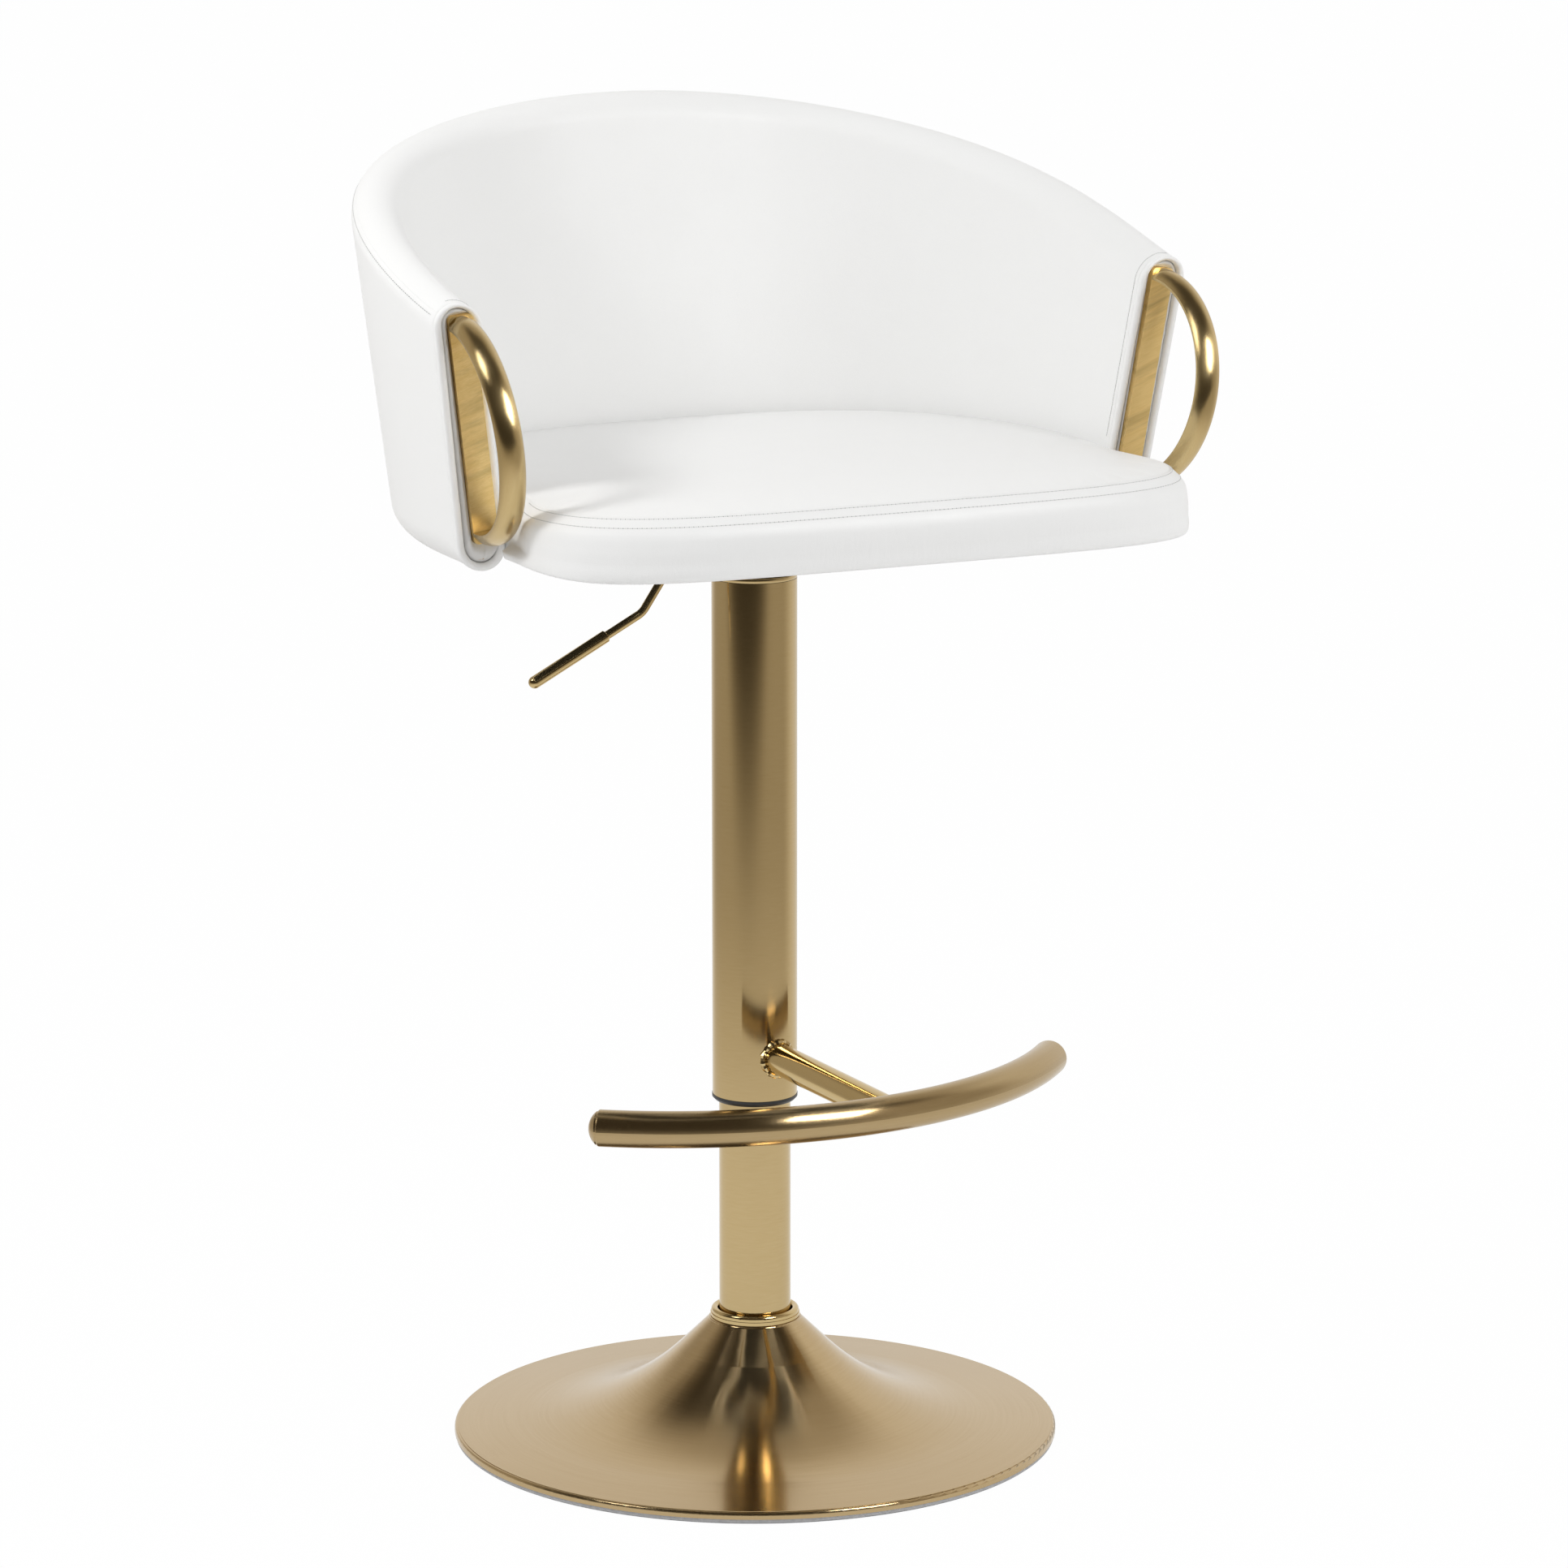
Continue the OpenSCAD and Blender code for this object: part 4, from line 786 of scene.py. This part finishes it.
def cushion(mat):
    """Crowned D-shaped pad with a sunk seam round its edge."""
    ang = 2 * math.pi * np.arange(RING_N) / RING_N + math.pi / 4
    rings = []
    for d, z in BAND:
        r = seat_radius(min(z, SEAM_Z), ang)
        p = SEAT_C + r[:, None] * np.stack([np.cos(ang), np.sin(ang)], 1)
        along = np.roll(p, -1, 0) - np.roll(p, 1, 0)
        along /= np.linalg.norm(along, axis=1)[:, None]
        normals = np.stack([along[:, 1], -along[:, 0]], 1)
        inset = d * (1 - (1 - REAR_ROUND) * rear_share(p[:, 1], *REAR_EDGE))
        p = p - normals * inset[:, None]
        rings.append(np.column_stack([p, np.full(RING_N, z)]))
    band_n = len(rings) * RING_N
    z0 = rings[-1][0, 2]
    rise = SEAM_Z + CROWN - z0
    top, top_quads = fill(rings[-1], band_n - RING_N, band_n, False,
                          lambda r: z0 + rise * (1 - r ** CROWN_POW))
    low, low_quads = fill(rings[0], 0, band_n + len(top), True, lambda r: BAND[0][1])
    points = np.concatenate(rings + [top, low])
    faces = grid_faces(len(rings), RING_N) + top_quads + low_quads
    o = make("seat_cushion_pad", points, faces, (mat,), "seat", ("seat_cushion",))
    pins = np.zeros(len(points))
    pins[:RING_N * LOW_ROWS] = 1.0                   # lower edge
    pins[SEAM_ROWS[0] * RING_N:(SEAM_ROWS[-1] + 1) * RING_N] = 1.0
    pins[band_n + len(top):] = 1.0                   # underside
    weight = np.ones(len(points))                    # the rear edge, against the back, doesn't swell
    weight[:band_n] -= rear_share(points[:band_n, 1], *REAR_STILL)
    inflate(o, pins, SWELL, weight)
    return o


# ------------------------------------------------------------------ leather pieces
white = leather("white_leather")
white_side = leather("white_leather_band", wrinkle=1.4)
# the slot's lining is the white leather painted grey: painted shade of the recess round the handle's plate
lining = leather("white_leather_lining_shaded", base=(0.68, 0.67, 0.65), grain=1.6, wrinkle=0.6, rough=0.58)
thread = plain("thread", (0.66, 0.66, 0.65), (0.78, 0.78, 0.77), 2200, 0.7)
# needle holes are dark grey beads on the leather: painted shade of each hole
hole = plain("needle_hole_shade", (0.30, 0.30, 0.30), (0.40, 0.40, 0.40), 900, 0.85)

panel(section_inner, "inner_panel", white, "inner_upholstery")
panel(section_outer, "outer_panel", white, "outer_upholstery")
for side, tag in SIDES:
    arm_strip(side, tag, white)
    slot_lining(side, tag, lining)
pad = cushion(white_side)

# sewn rows: under the rim's seam, beside both arm ends, and along the cushion's edge
RIM_ROW = math.radians(27.5)                         # place of the row on the rim roll
ARM_ROW = 8.1                                        # distance of the row from the arm end
ARM_ROW_LOW = 712.0                                  # it starts above the cushion
for side, tag in SIDES:
    s = np.linspace(7.5, LEN, 420)
    row, above = (wall(side, s, r * math.cos(RIM_ROW), crown(s) + r * math.sin(RIM_ROW))
                  for r in (HALF_T, HALF_T + 1))
    stitches("rim_stitches_" + tag, row, above - row, (thread, hole))
    top = float(crown(ARM_ROW))
    path = [(-1.0, 0.0, z) for z in np.linspace(ARM_ROW_LOW, top, 50)]
    path += [(math.cos(a), math.sin(a), top) for a in np.radians(np.linspace(178, 62, 24))]
    row, above = (np.array([wall(side, ARM_ROW, r * o, z + r * up) for o, up, z in path])
                  for r in (HALF_T, HALF_T + 1))
    stitches("arm_stitches_" + tag, row, above - row, (thread, hole))

FRONT_ROWS_Y = -118.0                                # the cushion's rows run only in front of this
pad_points, pad_normals = points_of(pad.data) / MM, points_of(pad.data, "normal")
for tag, at in (("upper", (9.3, 707.6)), ("lower", (4.3, 702.6))):
    first = BAND.index(at) * RING_N
    p, n = pad_points[first:first + RING_N], pad_normals[first:first + RING_N]
    start = int(np.argmax(p[:, 1]))                  # begin the row at the rear, out of sight
    p, n = np.roll(p, -start, 0), np.roll(n, -start, 0)
    front = p[:, 1] < FRONT_ROWS_Y
    stitches("cushion_stitches_" + tag, p[front], n[front], (thread, hole))


# ------------------------------------------------------------------ CAD materials
def paint(mat, *names):
    """Gives a material to the CAD nodes of these names."""
    for name in names:
        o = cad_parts[name]
        if not o.material_slots:
            o.data.materials.append(mat)
        for slot in o.material_slots:
            slot.material = mat


# colour factors below: painted shade on the tube, disc and bar, painted light on the plates
tube_gold = gold("gold_tube", "turned", rough=0.12, aniso=0.3, grain=0.7, painted_shading=(0.93, 0.93, 0.97))
paint(tube_gold, "stand_tube", "outer_tube", "lever_channel", "tube_top_disc")
paint(gold("gold_disc", "turned", rough=0.19, aniso=0.85, ring=0.012, painted_shading=(0.86, 0.84, 0.92)), "base_shell")
paint(gold("gold_collar", "turned", rough=0.14, aniso=0.2, grain=0.5), "base_collar")
paint(gold("gold_bar", "turned", centre=(0.0059, 0.1088, 0.0), rough=0.20, aniso=0.85, grain=0.8,
           painted_shading=(0.76, 0.74, 0.79)), "footrest_bar", "footrest_caps")
paint(gold("gold_strut", "along", axis=(-0.1219, -0.9925, 0.0), rough=0.12, aniso=0.3, grain=0.4),
      "footrest_strut", "strut_weld")
paint(gold("gold_lever", "along", axis=(-0.89, 0.0, -0.45), rough=0.15, aniso=0.2, grain=0.5),
      "lever_rod", "lever_grip")
for side, tag in SIDES:
    centre = tuple(at_handle(side, (0, 0, 0)) * MM)
    paint(gold("gold_arch_" + tag, "arch", centre=centre, rough=0.26, aniso=0.88, grain=0.8),
          "handle_arch_" + tag)
    paint(gold("gold_plate_" + tag, "along", axis=(0.94, 0.0, 0.34), rough=0.36, grain=2.0, wear=0.6,
               painted_shading=(1.55, 1.52, 1.36), stain=0.45), "handle_plate_" + tag)
paint(plain("zinc_steel", (0.52, 0.53, 0.55), (0.64, 0.65, 0.66), 160, 0.38, 1.0),
      "tube_foot", "thrust_race_lower", "thrust_cage", "thrust_race_upper", "piston_rod", "rod_guide",
      "seat_plate", "taper_socket", "lever_pin", "mount_bolts", "tee_nuts", "back_brackets",
      "bracket_screws", "handle_studs", "release_pin", "rod_clip")
paint(plain("black_plastic", (0.016, 0.016, 0.017), (0.03, 0.03, 0.03), 300, 0.42),
      "guide_bush", "tube_end_ring", "piston")
paint(plain("black_steel", (0.02, 0.02, 0.022), (0.035, 0.035, 0.037), 120, 0.35, 0.6), "gas_cylinder")
paint(plain("weight_iron", (0.05, 0.05, 0.052), (0.10, 0.10, 0.10), 220, 0.6, 0.6, 0.4, 0.0006),
      "base_weight", "base_hub")
paint(plain("grey_rubber", (0.40, 0.40, 0.41), (0.50, 0.50, 0.51), 400, 0.75), "floor_ring")
paint(plain("black_cloth", (0.015, 0.015, 0.016), (0.04, 0.04, 0.04), 1400, 0.9, 0.0, 0.5, 0.0004),
      "dust_cover")
paint(plain("brass_insert", (0.60, 0.42, 0.16), (0.75, 0.56, 0.24), 260, 0.3, 1.0), "stud_inserts")
paint(wood("plywood"), "back_core", "arm_post_left", "arm_post_right", "seat_board", "post_dowels")

# polished lip that closes the gap between the outer tube and the lever's housing: radius, height
LIP = [(27.0, 620.45), (29.6, 620.45), (29.95, 620.7), (29.95, 623.4), (29.7, 623.8), (27.0, 623.85)]
around = np.radians(np.arange(0, 360, 2.25))
make_ring("tube_lip", [np.stack([r * np.cos(around), r * np.sin(around), np.full(len(around), z)], 1)
                       for r, z in LIP], tube_gold)


# ------------------------------------------------------------------ stage, lamps, camera
FRONT = (-0.738, -0.675, 0.0)                        # level direction in which the white floor ends
FLOOR_END = (1.50, 3.1)                              # where it starts and stops to darken, metres
FLOOR_SIZE, FLOOR_STEPS = 40, 80                     # half size in metres; steps, finer in the middle
DIM = (1.0, 0.84, 0.62)                              # tint of the room's dark parts
EVEN, FRONT_DIM = 0.77, 0.30                         # strength of the even light, and what its front lacks
FRONT_LOBE = (0.35, 1.0)                             # how far round the front that reaches
EVEN_ALL, EVEN_LOW = 0.88, 0.12                      # its shares from all round and from below the top
ROOM_FRONT, ROOM_REAR = (0.05, 0.45), (-0.80, -0.45)      # where the room's walls darken, front and rear
ROOM_TOP, REAR_TOP = (0.55, 0.85), (0.88, 0.98)           # and how high up
ROOM_LIT, ROOM_DARK = 0.45, 0.06


def floor():
    """White floor that the camera and shiny surfaces see as almost pure white, and that keeps the shadow."""
    half_n = FLOOR_STEPS // 2
    step = [FLOOR_SIZE * (abs(k) / half_n) ** 3 * (1 if k > 0 else -1) for k in range(-half_n, half_n + 1)]
    me = bpy.data.meshes.new("floor")
    me.from_pydata([(x, y, 0.0) for y in step for x in step], [],
                   grid_faces(FLOOR_STEPS + 1, FLOOR_STEPS + 1, close_m=False))
    o = bpy.data.objects.new("floor", me)
    scene.collection.objects.link(o)
    m = Surface("floor_white")
    m.set(Base_Color=rgb(0.90, 0.90, 0.90), Roughness=0.95, Specular_IOR_Level=0.0)
    ray = m.add("ShaderNodeLightPath")
    glow, blend = m.add("ShaderNodeEmission"), m.add("ShaderNodeMixShader")
    front = m.dot(m.obj(), FRONT)
    dist = m.vmath("LENGTH", m.obj(), out="Value")
    rear = m.span(m.math("DIVIDE", front, m.math("MAXIMUM", dist, 0.01)), -0.9, -0.2, 0.36, 0.0, "SMOOTHSTEP")
    away = m.span(dist, 0.5, 2.0, 0.0, 1.0, "SMOOTHSTEP")
    level = m.minus(1.0, m.times(away, m.minus(0.48, rear)))
    level = m.times(level, m.span(front, FLOOR_END[0], FLOOR_END[1], 1.0, 0.10, "SMOOTHSTEP"))
    shiny = ray.outputs["Is Glossy Ray"]
    m.put(glow.inputs["Color"], m.mix(m.times(shiny, m.minus(1.0, level)), rgb(1, 1, 1), rgb(*DIM)))
    m.put(glow.inputs["Strength"], m.plus(m.times(shiny, level), m.minus(1.0, shiny)))
    m.put(blend.inputs[0], m.plus(m.times(ray.outputs["Is Camera Ray"], 0.98),
                                  m.times(shiny, m.span(dist, 0.3, 1.2, 0.7, 1.0))))
    m.link(m.bsdf.outputs[0], blend.inputs[1])
    m.link(glow.outputs[0], blend.inputs[2])
    m.link(blend.outputs[0], m.out.inputs["Surface"])
    me.materials.append(m.mat)


def studio():
    """Even white light all round; shiny surfaces see a white room with its dark front and ceiling."""
    world = bpy.data.worlds.new("studio")
    scene.world = world
    world.use_nodes = True
    w = Nodes(world.node_tree)
    out, ray = w.add("ShaderNodeOutputWorld"), w.add("ShaderNodeLightPath")
    even, room, seen = (w.add("ShaderNodeBackground") for _ in range(3))
    way = w.add("ShaderNodeTexCoord").outputs["Generated"]
    up, front = w.xyz(way)[2], w.dot(way, FRONT)
    top = w.fall(up, *ROOM_TOP)
    flat = w.math("SQRT", w.minus(1.001, w.times(up, up)))
    rear = w.times(w.fall(w.math("DIVIDE", front, flat), *ROOM_REAR), w.fall(up, *REAR_TOP))
    lit = w.math("MULTIPLY_ADD", rear, ROOM_LIT, w.times(top, ROOM_LIT))
    lit = w.times(lit, w.fall(front, *ROOM_FRONT))
    w.put(room.inputs["Strength"], w.plus(lit, ROOM_DARK))
    w.put(room.inputs["Color"], w.mix(lit, rgb(*DIM), rgb(1, 1, 1)))
    dim = w.math("MULTIPLY_ADD", w.fall(front, *FRONT_LOBE), FRONT_DIM, 1.0 - FRONT_DIM)
    soft = w.math("MULTIPLY_ADD", top, EVEN_LOW * EVEN, EVEN_ALL * EVEN)
    w.put(even.inputs["Strength"], w.times(dim, soft))
    even.inputs["Color"].default_value = rgb(1, 1, 1)
    seen.inputs["Color"].default_value = rgb(1, 1, 1)
    seen.inputs["Strength"].default_value = 1.0
    sources = even.outputs[0]
    for kind, light in (("Is Glossy Ray", room), ("Is Camera Ray", seen)):
        blend = w.add("ShaderNodeMixShader")
        w.link(ray.outputs[kind], blend.inputs[0])
        w.link(sources, blend.inputs[1])
        w.link(light.outputs[0], blend.inputs[2])
        sources = blend.outputs[0]
    w.link(sources, out.inputs["Surface"])


def lamp(name, at, along, size, power, matt=True, shiny=True):
    """Square lamp aimed at the stool, one edge along a direction. matt, shiny: which surfaces see it."""
    light = bpy.data.lights.new(name, "AREA")
    light.shape = "RECTANGLE"
    light.size, light.size_y, light.energy = size, size, power
    o = bpy.data.objects.new(name, light)
    z = (Vector(at) - Vector((0, 0, 0.4))).normalized()
    y = Vector(along)
    y = (y - z * y.dot(z)).normalized()
    o.matrix_world = Matrix.Translation(at) @ Matrix((y.cross(z), y, z)).transposed().to_4x4()
    o.visible_diffuse, o.visible_glossy = matt, shiny
    scene.collection.objects.link(o)


floor()
studio()
lamp("box_left", (-1.55, 0.02, 1.74), (1.0, 0.0, 0.0), 0.6, 7, matt=False)
lamp("box_right", (0.47, -1.23, 1.40), (0.0, 1.0, 0.0), 0.6, 19, matt=False)
lamp("key", (-1.45, 0.03, 1.85), (1.0, 0.0, 0.0), 0.35, 11.2, shiny=False)
lamp("fill", (1.6, -2.3, 2.1), (1.0, 0.0, 0.0), 2.0, 20, shiny=False)

AZ, EL, DIST = math.radians(-27.6), math.radians(11.806), 4.5
TARGET = Vector((0.01834, -0.00959, 0.4728))
toward = Vector((math.sin(AZ) * math.cos(EL), -math.cos(AZ) * math.cos(EL), math.sin(EL)))
lens = bpy.data.cameras.new("camera")
lens.lens = 147.22
lens.sensor_width = 36.0
lens.clip_end = 50
camera = bpy.data.objects.new("camera", lens)
camera.location = TARGET + toward * DIST
camera.rotation_euler = (-toward).to_track_quat("-Z", "Y").to_euler()
scene.collection.objects.link(camera)
scene.camera = camera
scene.view_settings.view_transform = "Standard"
